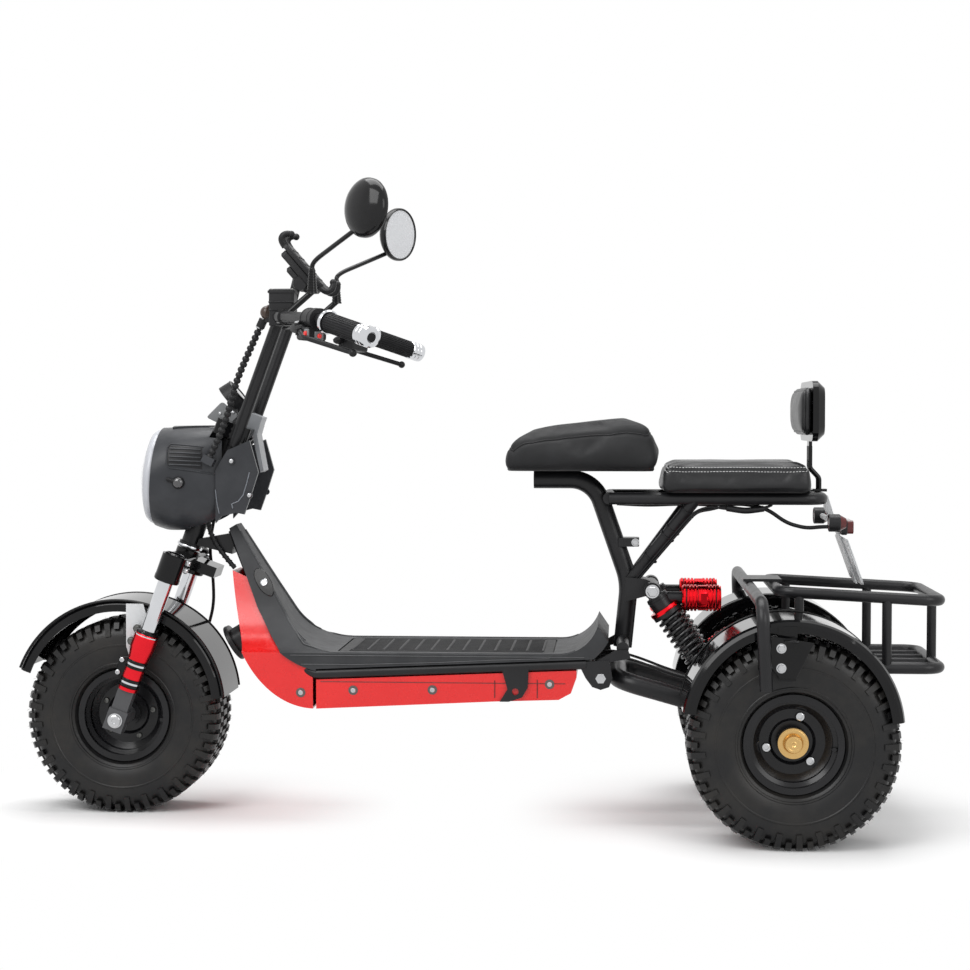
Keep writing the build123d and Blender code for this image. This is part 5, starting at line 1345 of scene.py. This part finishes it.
place = basis(grip_end, -grip_way)
bright = Form()
bright.lathe([(0.0, -0.0050), (0.0085, -0.0050), (0.0095, -0.0062), (0.0150, -0.0062), (0.0178, -0.0035),
              (0.0182, 0.0), (0.0182, 0.0060), (0.0176, 0.0070), (0.0176, 0.0080), (0.0182, 0.0090),
              (0.0182, 0.0150), (0.0176, 0.0160), (0.0176, 0.0170), (0.0182, 0.0180), (0.0182, 0.0240),
              (0.0166, 0.0252), (0.0, 0.0252)], place, 40)
bright.lathe([(0.0164, 0.1180), (0.0196, 0.1180), (0.0212, 0.1200), (0.0212, 0.1236), (0.0196, 0.1256),
              (0.0164, 0.1256)], place, 40, closed=True)
both(bright.done(), "grip_rings", "chrome", MACHINED)
plug = Form().lathe([(0.0, -0.0040), (0.0080, -0.0040), (0.0080, -0.0058), (0.0052, -0.0064),
                     (0.0, -0.0060)], place, 24)
both(plug.done(), "grip_plugs", "grip_rubber")
rib = Form().block((0.0164, 0, 0.0710), (0.0018, 0.0024, 0.0880), 0.0005)
both(copies_round(rib.done(), finishes["grip_rubber"], 26, place), "grip_ribs", "grip_rubber")

# the switch boxes, their buttons and the levers' perches
perch = grip_root + bar_way * 0.022
perch_place = basis(perch, -bar_way)
seams = Form()
for height in (-0.024, 0.002, 0.0165):
    seams.lathe([(0.0185, height - 0.0012), (0.0196, height - 0.0008), (0.0196, height + 0.0008),
                 (0.0185, height + 0.0012)], perch_place, 32, closed=True)
both(seams.done(), "housing_bands", "control_black")
controls = Skin("bar_controls")
pads = Form()
buttons = Form()
for x, z, tall in ((259, 875, 0.0075), (240, 871, 0.0060)):
    for hand in (1, -1):
        spot, normal = controls.from_side(x, z, -1.0, hand)
        here = basis(spot, normal)
        pads.block((0, 0, 0.0012), (0.0165, 0.0150, 0.0040), 0.0012, here)
        if x == 259:
            buttons.block((0.0020, 0.0, 0.0040), (0.0075, tall, 0.0060), 0.0014, here)
        else:
            buttons.ball(here @ Vector((0, 0, 0.0036)), 0.0042, 8)
piece("switch_pads", pads, "control_black", "steering", CREASE, switch_grey)
piece("switch_buttons", buttons, "control_black", "steering", CREASE, switch_red)
perches = Form()
lever_spot = perch + bar_way * 0.012 + mm(26, 0, -16)
perches.block((0, 0, 0), (0.020, 0.030, 0.014), 0.004, basis(lever_spot, (0.2, 0.3, 1), -bar_way))
perches.lathe([(0.0, -0.011), (0.0058, -0.011), (0.0058, 0.009), (0.0045, 0.0105), (0.0, 0.0105)],
              basis(lever_spot, (0.1, 0.1, 1)), 20)
both(perches.done(), "lever_perches", "control_black")
spots = [(lever_spot + Vector((0.001, 0.001, 0.0102)), (0.1, 0.1, 1))]
both(copies_at(bolt_head(0.0048, 0.0028), zinc, spots), "lever_screws", "chrome", MACHINED, zinc)

# the fluid box's lid, sight glass and screws; the hose's banjo
BOX_X = 330.4
BOX_Y = 118
lid_place = basis(mm(BOX_X, BOX_Y, 957.5), UP, (0, 1, 0))
lid = Form()
lid.slab(round_sheet(0.047, 0.041, 0.005), lid_place, -0.0006, 0.0034, 0.0012)
lid.slab(round_sheet(0.033, 0.027, 0.004), lid_place, 0.0030, 0.0048, 0.0008)
for z in (938, 924):
    lid.block((0, 0, 0), (0.046, 0.0032, 0.0024), 0.0008, basis(mm(BOX_X, 138.4, z), (0, 1, 0), UP))
piece("fluid_box_lid", lid, "control_black", "steering")
spots = [(mm(BOX_X + dx, BOX_Y + dy, 960.6), UP) for dx in (-18.5, 18.5) for dy in (-15.5, 15.5)]
bolts("fluid_box_screws", bolt_head(0.0032, 0.0016, 0.4), spots, "steering", dark_zinc)
sight = Form().lathe([(0.0, -0.001), (0.0075, -0.001), (0.0075, 0.0016), (0.0062, 0.0024), (0.0050, 0.0016),
                      (0.0, 0.0016)], basis(mm(BOX_X, 138.0, 911), (0, 1, 0)), 28)
piece("sight_glass", sight, "control_black", "steering", CREASE,
      moulded("sight glass", (0.10, 0.05, 0.02), (0.16, 0.08, 0.03), 0.08, 60.0, 0.00001, coat_weight=1.0))
ball = mm(362, 104, 921)
horn = Form().ball(ball, 0.0125, 12)
horn.lathe([(0.0135, -0.002), (0.0142, 0.0), (0.0135, 0.002)], basis(ball, (1, 0, 0.2)), 28, closed=True)
horn.tube([mm(352, 104, 916), ball], 0.006, 12)
piece("horn_knob", horn, "control_black", "steering", CREASE,
      moulded("knob brown black", (0.035, 0.02, 0.014), (0.06, 0.035, 0.025), 0.25))
banjo = Form().tube([mm(368, 103, 912), mm(374.5, 102, 897)], 0.0035, 12)
banjo.lathe([(0.0, -0.004), (0.0072, -0.004), (0.0072, 0.004), (0.0, 0.004)],
            basis(mm(375.6, 102, 896), (-0.4, 0, 0.9)), 6)
piece("hose_banjo", banjo, "chrome", "steering", radians(20), zinc)

# ---------------------------------------------------------------- mirrors
mirror_gloss = moulded("mirror shell", (0.006, 0.006, 0.0065), (0.016, 0.016, 0.017), 0.14, 300.0, 0.00002,
                       specular_ior_level=0.25)
silvered = Finish("silvered glass", (0.66, 0.67, 0.69), 0.05, metallic=0.35)
silvered.worn((0.66, 0.67, 0.69), (0.74, 0.75, 0.76), 0.3, 8.0)
silvered.bump(silvered.noise(6.0, 1.0), 0.00003)
MIRROR_FOOT = 150
shells = Form()
glasses = Form()
stalks = Form()
for hand, turn in ((1, radians(47)), (-1, radians(30))):
    facing = Vector((cos(turn), hand * sin(turn), 0.06))
    centre = mm(159, hand * 245, 1092.5)
    place = basis(centre, facing)
    shells.lathe([(0.0, 0.0012), (0.0470, 0.0012), (0.0480, -0.0010), (0.0505, -0.0018), (0.0518, 0.0004),
                  (0.0520, 0.0070), (0.0508, 0.0105), (0.0482, 0.0140), (0.0430, 0.0190), (0.0350, 0.0238),
                  (0.0240, 0.0272), (0.0120, 0.0288), (0.0, 0.0292)], place, 72)
    glasses.lathe([(0.0, -0.0006), (0.0240, -0.0004), (0.0472, 0.0002), (0.0476, 0.0016), (0.0, 0.0016)],
                  place, 72)
    foot = mm(272.4, hand * MIRROR_FOOT, 951.5)
    knee = foot + mm(0, 0, 56)
    hold = place @ Vector((0, 0, 0.0160)) - Vector((0, 0, 0.0310))
    line = [foot + mm(0, 0, 6), foot + mm(0, 0, 42), knee + mm(0, 0, -4), knee.lerp(hold, 0.10),
            knee.lerp(hold, 0.3), hold]
    stalks.tube(smooth_line(line, 8), 0.0043, 12)
    stalks.lathe([(0.0, -0.011), (0.0062, -0.010), (0.0078, -0.004), (0.0078, 0.004), (0.0062, 0.008),
                  (0.0, 0.008)], basis(hold, facing), 20)
    profile = [(0.0, 0.0), (0.0098, 0.0)]
    for k in range(9):
        radius = 0.0096 - 0.00042 * k
        profile += [(radius, 0.001 + 0.0048 * k), (radius, 0.0034 + 0.0048 * k),
                    (radius - 0.0010, 0.0040 + 0.0048 * k), (radius - 0.0010, 0.0052 + 0.0048 * k)]
    profile += [(0.0050, 0.0450), (0.0, 0.0450)]
    stalks.lathe(profile, basis(foot, UP), 24)
    on_bar = mm(325, hand * MIRROR_FOOT, 910.5)
    reach = (foot - on_bar).normalized()
    stalks.tube([on_bar + reach * 0.0115, foot + mm(0, 0, 4)], 0.0056, 14)
    stalks.lathe([(0.0112, -0.008), (0.0140, -0.0065), (0.0140, 0.0065), (0.0112, 0.008)],
                 basis(on_bar, Vector((bar_way.x, hand * bar_way.y, bar_way.z))), 28, closed=True)
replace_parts(piece("mirror_shells", joined(shells.done(), stalks.done()), "mirror_black", "steering", MOULDED,
                  mirror_gloss), "mirrors")
piece("mirror_glasses", glasses, "lens", "steering", MOULDED, silvered.material)

# ---------------------------------------------------------------- phone holder
lean = radians(41)
holder_normal = Vector((-cos(lean), 0, sin(lean)))
holder_up = Vector((sin(lean), 0, cos(lean)))
holder_place = basis(mm(313.4, 0, 1005.5), holder_normal, holder_up)
holder = Form()
holder.slab(round_sheet(0.068, 0.112, 0.012, 5), holder_place, 0.002, 0.012, 0.0022)
holder.slab(round_box(-0.026, -0.050, 0.026, 0.046, 0.008), holder_place, -0.012, 0.003, 0.003)
holder.slab(round_box(-0.018, -0.040, 0.018, 0.020, 0.008), holder_place, -0.024, -0.010, 0.004)
for side, end in ((-1, 1), (1, 1), (-1, -1), (1, -1)):
    root = Vector((side * 0.024, end * 0.050, 0.006))
    claw = [holder_place @ (root + Vector(step)) for step in
            ((0, 0, 0), (side * 0.004, end * 0.012, 0.001), (side * 0.005, end * 0.018, 0.010),
             (side * 0.004, end * 0.014, 0.020), (side * 0.003, end * 0.009, 0.023))]
    holder.tube(smooth_line(claw, 6), lambda t: 0.0072 - 0.0016 * t, 12)
    holder.ball(claw[-1], 0.0066, 6)
holder.tube([mm(341.4, 0, 913.5), mm(338, 0, 930), holder_place @ Vector((0, -0.006, -0.018))], 0.0095, 16)
holder.lathe([(0.0112, -0.016), (0.0178, -0.015), (0.0186, -0.010), (0.0186, 0.010), (0.0178, 0.015),
              (0.0112, 0.016)], basis(mm(347.4, 0, 913.5), (0, 1, 0)), 32, closed=True)
holder.lathe([(0.0, -0.022), (0.0125, -0.022), (0.0140, -0.019), (0.0140, 0.019), (0.0125, 0.022),
              (0.0, 0.022)], basis(holder_place @ Vector((0, -0.018, -0.019)), (0, 1, 0)), 24)
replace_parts(piece("holder_body", holder, "control_black", "steering", MOULDED), "phone_holder")
lines = Form()
for k in range(5):
    lines.block((0, -0.034 + 0.017 * k, 0.0122), (0.052, 0.004, 0.0016), 0.0006, holder_place)
piece("holder_ribs", lines, "control_black", "steering", CREASE, finishes["grip_rubber"])

# ---------------------------------------------------------------- dash
tilt = radians(30)
dash_facing = (on_steer(-sin(tilt), 0, cos(tilt)) - on_steer(0, 0, 0)).normalized()
hit = Skin("dash_display").tree.ray_cast(on_steer(22, 0, 614) + dash_facing * 0.08, -dash_facing)[0]
dash_place = basis(hit, dash_facing)
dial = Form().lathe([(0.0222, -0.001), (0.0262, -0.001), (0.0268, 0.0012), (0.0256, 0.0026), (0.0232, 0.0026),
                     (0.0222, 0.0012)], dash_place, 48, closed=True)
piece("dash_bezel", dial, "control_black", "steering", MOULDED, finishes["gloss_black"])
face = Form().lathe([(0.0, -0.0006), (0.0228, -0.0006), (0.0228, 0.0010), (0.0140, 0.0016), (0.0, 0.0019)],
                    dash_place, 48)
piece("dash_glass", face, "lens", "steering", CREASE, signal_finish)
flat = rounded_outline([(-0.030, -0.020), (0.012, -0.024), (0.026, 0.004), (-0.012, 0.018)], 0.006, 4)
plates = Form()
for hand in (1, -1):
    plates.slab(flat, basis(on_steer(18, hand * 19, 590), (0, hand, 0), steer_way), -0.0015, 0.0015, 0.0006)
piece("dash_side_plates", plates, "control_black", "steering", CREASE, switch_grey)
spots = [(on_steer(18 + du, hand * 20.5, 590 + dv), (0, hand, 0))
         for hand in (1, -1) for du, dv in ((-14, 6), (8, -4))]
bolts("dash_screws", bolt_head(0.0030, 0.0018), spots, "steering")

# ---------------------------------------------------------------- deck
deck = Skin("deck_tray")
mat = Form().slab(round_box(-0.155, -0.110, 0.233, 0.110, 0.014, 5), ORIGIN, 0.3062, 0.3086, 0.0006)
rib = Form().block((0.039, -0.0960, 0.3089), (0.352, 0.0034, 0.0014), 0.0005)
mat_ribs = copies_in_row(rib.done(), finishes["grip_rubber"], 17, (0, 0.0120, 0))
cleat = Form().block((-0.136, 0, 0.3089), (0.0045, 0.170, 0.0026), 0.0008)
mat_cleats = copies_in_row(cleat.done(), finishes["grip_rubber"], 13, (0.0290, 0, 0))
piece("deck_mat", joined(mat.done(), mat_ribs, mat_cleats), "tray_grey", "frame", MACHINED,
      moulded("mat rubber", (0.012, 0.012, 0.013), (0.03, 0.03, 0.031), 0.6, specular_ior_level=0.35))
lines = Form()
for inset in (9, 22):
    edge = [(-196, 140 - inset), (244, 140 - inset), (296, 118 - inset), (314, 94 - inset * 0.8),
            (337, 70 - inset * 0.7), (370, 52 - inset * 0.6), (398, 40 - inset * 0.5),
            (428, 28 - inset * 0.35)]
    deck.bead(lines, edge if inset == 9 else edge[2:], 1.2, 0.25, from_top=True)
deck.bead(lines, [(-212, 305), (316, 305)], 1.0, 0.25)
deck.bead(lines, [(-150, 302.5), (-50, 299), (50, 294), (200, 289), (296, 289)], 1.0, 0.25)
lines.mirrored()
piece("deck_lines", lines, "tray_grey", "frame", CREASE,
      moulded("deck line grey", (0.035, 0.036, 0.039), (0.07, 0.071, 0.074), 0.4))

spot, normal = deck.from_side(379, 428, 0.0)
lock_place = basis(spot - normal * 0.001, normal, (0.515, 0, 0.857))
plate = Form().slab(soft_outline([(0.0, 0.030), (0.011, 0.018), (0.012, -0.012), (0.0, -0.030),
                                  (-0.012, -0.012), (-0.011, 0.018)], 6), lock_place, 0.0, 0.0030, 0.001)
barrel = Form().lathe([(0.0, 0.002), (0.0068, 0.002), (0.0068, 0.0050), (0.0056, 0.0060), (0.0040, 0.0056),
                       (0.0040, 0.0046), (0.0, 0.0046)], lock_place, 28)
piece("lock_plate", plate, "tray_grey", "frame", CREASE, finishes["gloss_black"])
piece("lock_barrel", barrel, "chrome", "frame", MACHINED)

# ---------------------------------------------------------------- belly and shroud
belly = Skin("belly_pan", "front_shroud")
seam_lines = Form()
for x, low, high in ((-52, 231, 262), (-128, 231, 264)):
    belly.bead(seam_lines, [(x, low), (x, high)], 0.9, 0.35)
belly.bead(seam_lines, [(-178, 257), (-60, 257), (100, 257), (262, 257)], 0.7, 0.35)
seam_lines.mirrored()
piece("belly_seams", seam_lines, "panel_red", "frame", CREASE,
      moulded("seam dark red", (0.10, 0.008, 0.008), (0.16, 0.015, 0.012), 0.4))
spots = [belly.from_side(x, z, 0.0, hand)
         for x, z in ((298, 237), (203, 242), (-150, 256), (60, 244)) for hand in (1, -1)]
bolts("belly_screws", bolt_head(0.0052, 0.0030, 0.4), spots, "frame")
washer = Form().lathe([(0.0040, -0.001), (0.0085, -0.001), (0.0085, 0.0007), (0.0060, 0.0010),
                       (0.0040, 0.0010)], ORIGIN, 28, closed=True)
piece("belly_washers", copies_at(washer.done(), dark_zinc, spots), "damper_black", "frame", MACHINED,
      dark_zinc)

# ---------------------------------------------------------------- shocks
shock_top = mm(REAR.x + 235, 0, 420)
shock_low = mm(REAR.x + 116, 0, 248)
shock_way = (shock_low - shock_top).normalized()
SHOCK_HALF = 76
TANK_X = REAR.x + 142
TANK_Z = 407
red_rings = Form()
tanks = Form()
bands = Form()
for hand in (1, -1):
    along = basis(shock_top + mm(0, hand * SHOCK_HALF, 0), shock_way)
    red_rings.lathe([(0.0195, 0.0370), (0.0288, 0.0372), (0.0292, 0.0400), (0.0292, 0.0425), (0.0286, 0.0445),
                     (0.0195, 0.0445)], along, 40, closed=True)
    bands.lathe([(0.0195, 0.0150), (0.0208, 0.0155), (0.0208, 0.0185), (0.0202, 0.0190), (0.0202, 0.0205),
                 (0.0208, 0.0210), (0.0208, 0.0240), (0.0195, 0.0245)], along, 40, closed=True)
    tank = basis(mm(TANK_X + 37, hand * SHOCK_HALF, TANK_Z), (-1, 0, 0))
    profile = [(0.0190, -0.0025), (0.0206, -0.0025)]
    for start in (0.0, 0.0405):
        for k in range(4):
            low = start + k * 0.0063
            profile += [(0.0232, low), (0.0238, low + 0.0008), (0.0238, low + 0.0034), (0.0232, low + 0.0042),
                        (0.0208, low + 0.0046), (0.0208, low + 0.0059)]
        if start == 0.0:
            profile += [(0.0229, 0.0262), (0.0229, 0.0395)]
    profile += [(0.0226, 0.0668), (0.0190, 0.0672)]
    tanks.lathe(profile, tank, 48, closed=True)
    bands.lathe([(0.0, 0.0640), (0.0175, 0.0640), (0.0175, 0.0655), (0.0150, 0.0668), (0.0060, 0.0668),
                 (0.0050, 0.0655), (0.0, 0.0655)], tank, 32)
piece("shock_rings", red_rings, "lamp_red", "frame", MACHINED, anodised)
piece("reservoir_sleeves", tanks, "lamp_red", "frame", MACHINED, anodised)
piece("shock_bands", bands, "damper_black", "frame", MACHINED)
plates = Form()
for hand in (1, -1):
    here = basis(mm(TANK_X, hand * SHOCK_HALF, TANK_Z), (0, hand, 0))
    for out in (0.0228, -0.0228):
        plates.block((0, 0, out), (0.0125, 0.020, 0.0014), 0.0005, here)
piece("reservoir_marks", plates, "lamp_red", "frame", CREASE,
      bare_metal("dark anodised red", (0.35, 0.006, 0.01), 0.3))
bolts("shock_bolts", hex_head(0.0098, 0.0075),
      both_sides([(REAR.x + 235, 100, 420), (REAR.x + 116, 96, 248)]), "frame")

# the brake's slave cylinder, ribbed, behind the left shock
slave_place = basis(mm(-440, 42, 318), (-0.82, 0, 0.57))
profile = [(0.0, 0.0), (0.0085, 0.0)]
for k in range(6):
    low = 0.002 + k * 0.0068
    profile += [(0.0122, low), (0.0125, low + 0.0010), (0.0125, low + 0.0034), (0.0120, low + 0.0044),
                (0.0098, low + 0.0048), (0.0098, low + 0.0064)]
profile += [(0.0108, 0.0436), (0.0095, 0.0462), (0.0, 0.0462)]
piece("slave_cylinder", Form().lathe(profile, slave_place, 32), "lamp_red", "frame", MACHINED, anodised)
hanger = Form().tube([mm(-462, 42, 322), mm(-478, 42, 292), mm(-500, 42, 262), mm(-545, 42, 214)], 0.0048, 12)
hanger.lathe([(0.0100, -0.004), (0.0142, -0.004), (0.0142, 0.004), (0.0100, 0.004)],
             slave_place @ Matrix.Translation((0, 0, 0.0215)), 32, closed=True)
piece("slave_hanger", hanger, "damper_black", "frame", MOULDED)

# ---------------------------------------------------------------- frame fittings
ties = Form()
strut_low = mm(-294, 12, 433)
strut_way = mm(-411, 80, 586) - strut_low
for share in (0.30, 0.56, 0.64, 0.86):
    here = basis(strut_low + strut_way * share, strut_way)
    ties.lathe([(0.0105, -0.0019), (0.0124, -0.0019), (0.0128, 0.0), (0.0124, 0.0019), (0.0105, 0.0019)],
               here, 28, closed=True)
    ties.block((0, -0.0145, 0), (0.0050, 0.0062, 0.0050), 0.001, here)
piece("cable_ties", ties, "control_black", "frame", radians(35))
wires = Form()
for lift, spread in ((0.0, 0.0), (3.5, 3.0), (-3.0, 2.5)):
    run = [(-300, 20 + spread, 428 + lift), (-345, 44 + spread, 483 + lift), (-398, 72 + spread, 549 + lift),
           (-414, 76 + spread, 564 + lift / 2), (-439, 76 + spread, 569 + lift), (-464, 76, 570 - lift),
           (-497, 74 + spread, 565 + lift), (-533, 68, 568 - lift / 2), (-548, 62, 574)]
    wires.tube(mm_line(run, 8), 0.0021, 8)
tape = [(-466, 77, 569), (-484, 76, 566), (-500, 75, 564), (-518, 73, 566), (-532, 70, 568)]
wires.tube(mm_line(tape, 6), 0.0058, 12)
piece("strut_wires", wires, "control_black", "frame", BENT)
bolts("strap_bolts", hex_head(0.0058, 0.0046), both_sides([(-303, 21, 503)]), "frame")
pivots = Skin("main_frame", "swing_arm")
spots = [(pivots.from_side(-241, 267, 0.0, hand)[0], (0, hand, 0)) for hand in (1, -1)]
bolts("pivot_bolts", hex_head(0.0105, 0.0085), spots, "frame")

# ---------------------------------------------------------------- mudguards
def guard_rim(x, y, z, radius, low, high):
    """Points along a mudguard's rolled edge, in mm, between two angles."""
    return [mm(x + radius * cos(radians(turn)), y, z + radius * sin(radians(turn)))
            for turn in range(low, high, 3)]


rims = Form()
for hand in (1, -1):
    rims.tube(guard_rim(647, hand * 77.6, 200, 196, 21, 175), 0.0024, 10)
piece("front_mudguard_rims", rims, "gloss_black", "steering", BENT)
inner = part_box("rear_mudguard_left")[0].y * 1000
rims = Form().tube(guard_rim(-565, inner + 0.6, 206, 186, 10, 175), 0.0024, 10)
rims.mirrored()
piece("rear_mudguard_rims", rims, "gloss_black", "frame", BENT)
hangers = Form()
hangers.slab([(0.525, 0.369), (0.596, 0.358), (0.566, 0.298), (0.540, 0.298), (0.525, 0.317)],
             basis(mm(0, 348.9, 0), (0, 1, 0)), 0.0, 0.0028, 0.0005)
hangers.block((0, 0, 0), (0.058, 0.024, 0.003), 0.001, basis(mm(-558, 338.5, 361), UP))
hangers.mirrored()
piece("mudguard_plates", hangers, "gloss_black", "frame", MACHINED)
bolts("mudguard_bolts", hex_head(0.0066, 0.0050),
      both_sides([(-542, 351.6, 349), (-542, 351.6, 316)]), "frame")
stays = Skin("front_mudguard_stays")
spots = [(stays.from_side(x, z, 0.0, hand)[0], (0, hand, 0))
         for hand in (1, -1) for x, z in ((608, 345), (619, 322))]
bolts("stay_bolts", hex_head(0.0062, 0.0056), spots, "steering", dark_zinc)

# ---------------------------------------------------------------- lamps and plate behind
bars = Form()
for k in range(9):
    bars.block((0, 0, 0), (0.0035, 0.0200, 0.0030), 0.0008,
               basis(mm(-695.6, -32 + 8 * k, 533), (-1, 0, 0)))
piece("tail_lamp_ribs", bars, "lamp_red", "frame", MOULDED)
housing = Form()
housing.slab(round_sheet(0.087, 0.028, 0.006), basis(mm(-674, 0, 533), (-1, 0, 0)), 0.0, 0.011, 0.0015)
for hand in (1, -1):
    housing.lathe([(0.0138, 0.0), (0.0156, 0.001), (0.0156, 0.019), (0.0138, 0.021)],
                  basis(mm(-641, hand * 132, 546), (-1, 0, 0)), 32, closed=True)
piece("tail_lamp_housings", housing, "damper_black", "frame", MOULDED)
plate_lean = radians(19.8)
plate_way = Vector((-cos(plate_lean), 0, sin(plate_lean)))
plate_place = basis(mm(-691, 0, 473) + plate_way * 0.0020, plate_way)
rim = [plate_place @ Vector((x, y, 0.0004)) for x, y in round_sheet(0.189, 0.083, 0.006)]
piece("plate_rim", Form().tube(rim, 0.0013, 8, closed=True), "plate_silver", "frame", BENT)
bolts("plate_screws", bolt_head(0.0042, 0.0026),
      [(plate_place @ Vector((x, 0.026, 0.0)), plate_way) for x in (-0.062, 0.062)], "frame")

# ---------------------------------------------------------------- horn
horn_way = Vector((cos(radians(31)), 0, -sin(radians(31))))
horn_place = basis(mm(446, 0, 310), horn_way)
horn = Form().lathe([(0.0, -0.001), (0.0060, -0.001), (0.0060, 0.0034), (0.0045, 0.0042), (0.0, 0.0042)],
                    horn_place, 24)
for radius in (0.0110, 0.0165, 0.0220, 0.0275):
    horn.lathe([(radius, -0.0008), (radius + 0.0012, 0.0012), (radius + 0.0024, -0.0008)], horn_place, 48,
               closed=True)
horn.lathe([(0.0318, -0.0030), (0.0346, -0.0030), (0.0350, 0.0), (0.0340, 0.0018), (0.0318, 0.0018)],
           horn_place, 56, closed=True)
piece("horn_rings", horn, "damper_black", "frame", MACHINED)
bolts("horn_nut", hex_head(0.0050, 0.0030), [(horn_place @ Vector((0, 0, 0.0036)), horn_way)], "frame")

# ---------------------------------------------------------------- camera, stage and lights
camera_data = bpy.data.cameras.new("camera")
camera_data.lens = 72.4
camera_data.sensor_width = 36.0
camera = bpy.data.objects.new("camera", camera_data)
camera.location = (-0.273, 3.6, 0.7314)
yaw = 0.0687
pitch = 0.0345
gaze = Vector((sin(yaw) * cos(pitch), -cos(yaw) * cos(pitch), -sin(pitch)))
camera.rotation_euler = gaze.to_track_quat("-Z", "Y").to_euler()
bpy.context.collection.objects.link(camera)
bpy.context.scene.camera = camera


def seen_directly(tree):
    """1 for what is looked at, also in a gloss or through glass, 0 for the light on the object."""
    path = tree.nodes.new("ShaderNodeLightPath")
    answer = path.outputs["Is Camera Ray"]
    for ray in ("Is Glossy Ray", "Is Transmission Ray"):
        join = tree.nodes.new("ShaderNodeMath")
        join.operation = "MAXIMUM"
        tree.links.new(answer, join.inputs[0])
        tree.links.new(path.outputs[ray], join.inputs[1])
        answer = join.outputs[0]
    return answer


# the floor carries the shadows round the wheels and goes over into plain white further out
floor_reach = 30.0
floor_mesh = bpy.data.meshes.new("floor")
corners = [(x * floor_reach, y * floor_reach, 0) for x, y in ((-1, -1), (1, -1), (1, 1), (-1, 1))]
floor_mesh.from_pydata(corners, [], [(0, 1, 2, 3)])
floor = bpy.data.objects.new("floor", floor_mesh)
bpy.context.collection.objects.link(floor)
floor_finish = Finish("floor pale", (0.9, 0.9, 0.9), 0.75, specular_ior_level=0.1)
floor_tree = floor_finish.tree
floor_x, floor_y, _ = floor_finish.axes()
near_front = (abs(floor_x - 0.642) ** 2.0 + abs(floor_y * 1.1) ** 2.0) ** 0.5
near_back = (abs(floor_x + 0.568) ** 2.0 + abs(floor_y * 0.75) ** 2.0) ** 0.5
fade = near_front.math("MINIMUM", near_back).step(0.16, 0.52)
glow = floor_tree.nodes.new("ShaderNodeEmission")
mix = floor_tree.nodes.new("ShaderNodeMixShader")
floor_tree.links.new((fade * Amount(floor_finish, seen_directly(floor_tree))).socket, mix.inputs[0])
floor_tree.links.new(floor_finish.shader.outputs[0], mix.inputs[1])
floor_tree.links.new(glow.outputs[0], mix.inputs[2])
floor_tree.links.new(mix.outputs[0], floor_tree.nodes["Material Output"].inputs[0])
floor_mesh.materials.append(floor_finish.material)

world = bpy.data.worlds.new("studio")
world.use_nodes = True
bpy.context.scene.world = world
backdrop = world.node_tree.nodes["Background"]
backdrop.inputs[0].default_value = (1.0, 1.0, 1.0, 1.0)
level = world.node_tree.nodes.new("ShaderNodeMapRange")
level.inputs["To Min"].default_value = 0.38
level.inputs["To Max"].default_value = 1.0
world.node_tree.links.new(seen_directly(world.node_tree), level.inputs["Value"])
world.node_tree.links.new(level.outputs[0], backdrop.inputs[1])


def lamp(name, place, size, watts):
    """A soft light aimed at the object's middle."""
    data = bpy.data.lights.new(name, "AREA")
    data.shape = "RECTANGLE"
    data.size, data.size_y = size
    data.energy = watts
    item = bpy.data.objects.new(name, data)
    item.location = place
    item.rotation_euler = (Vector((0, 0, 0.5)) - Vector(place)).to_track_quat("-Z", "Y").to_euler()
    bpy.context.collection.objects.link(item)


lamp("key", (1.6, 2.6, 3.0), (2.4, 2.4), 95)
lamp("fill", (-2.6, 2.8, 2.0), (2.0, 2.0), 40)
lamp("top", (0, -0.4, 3.4), (3.0, 2.0), 90)

bpy.context.scene.view_settings.view_transform = "Standard"
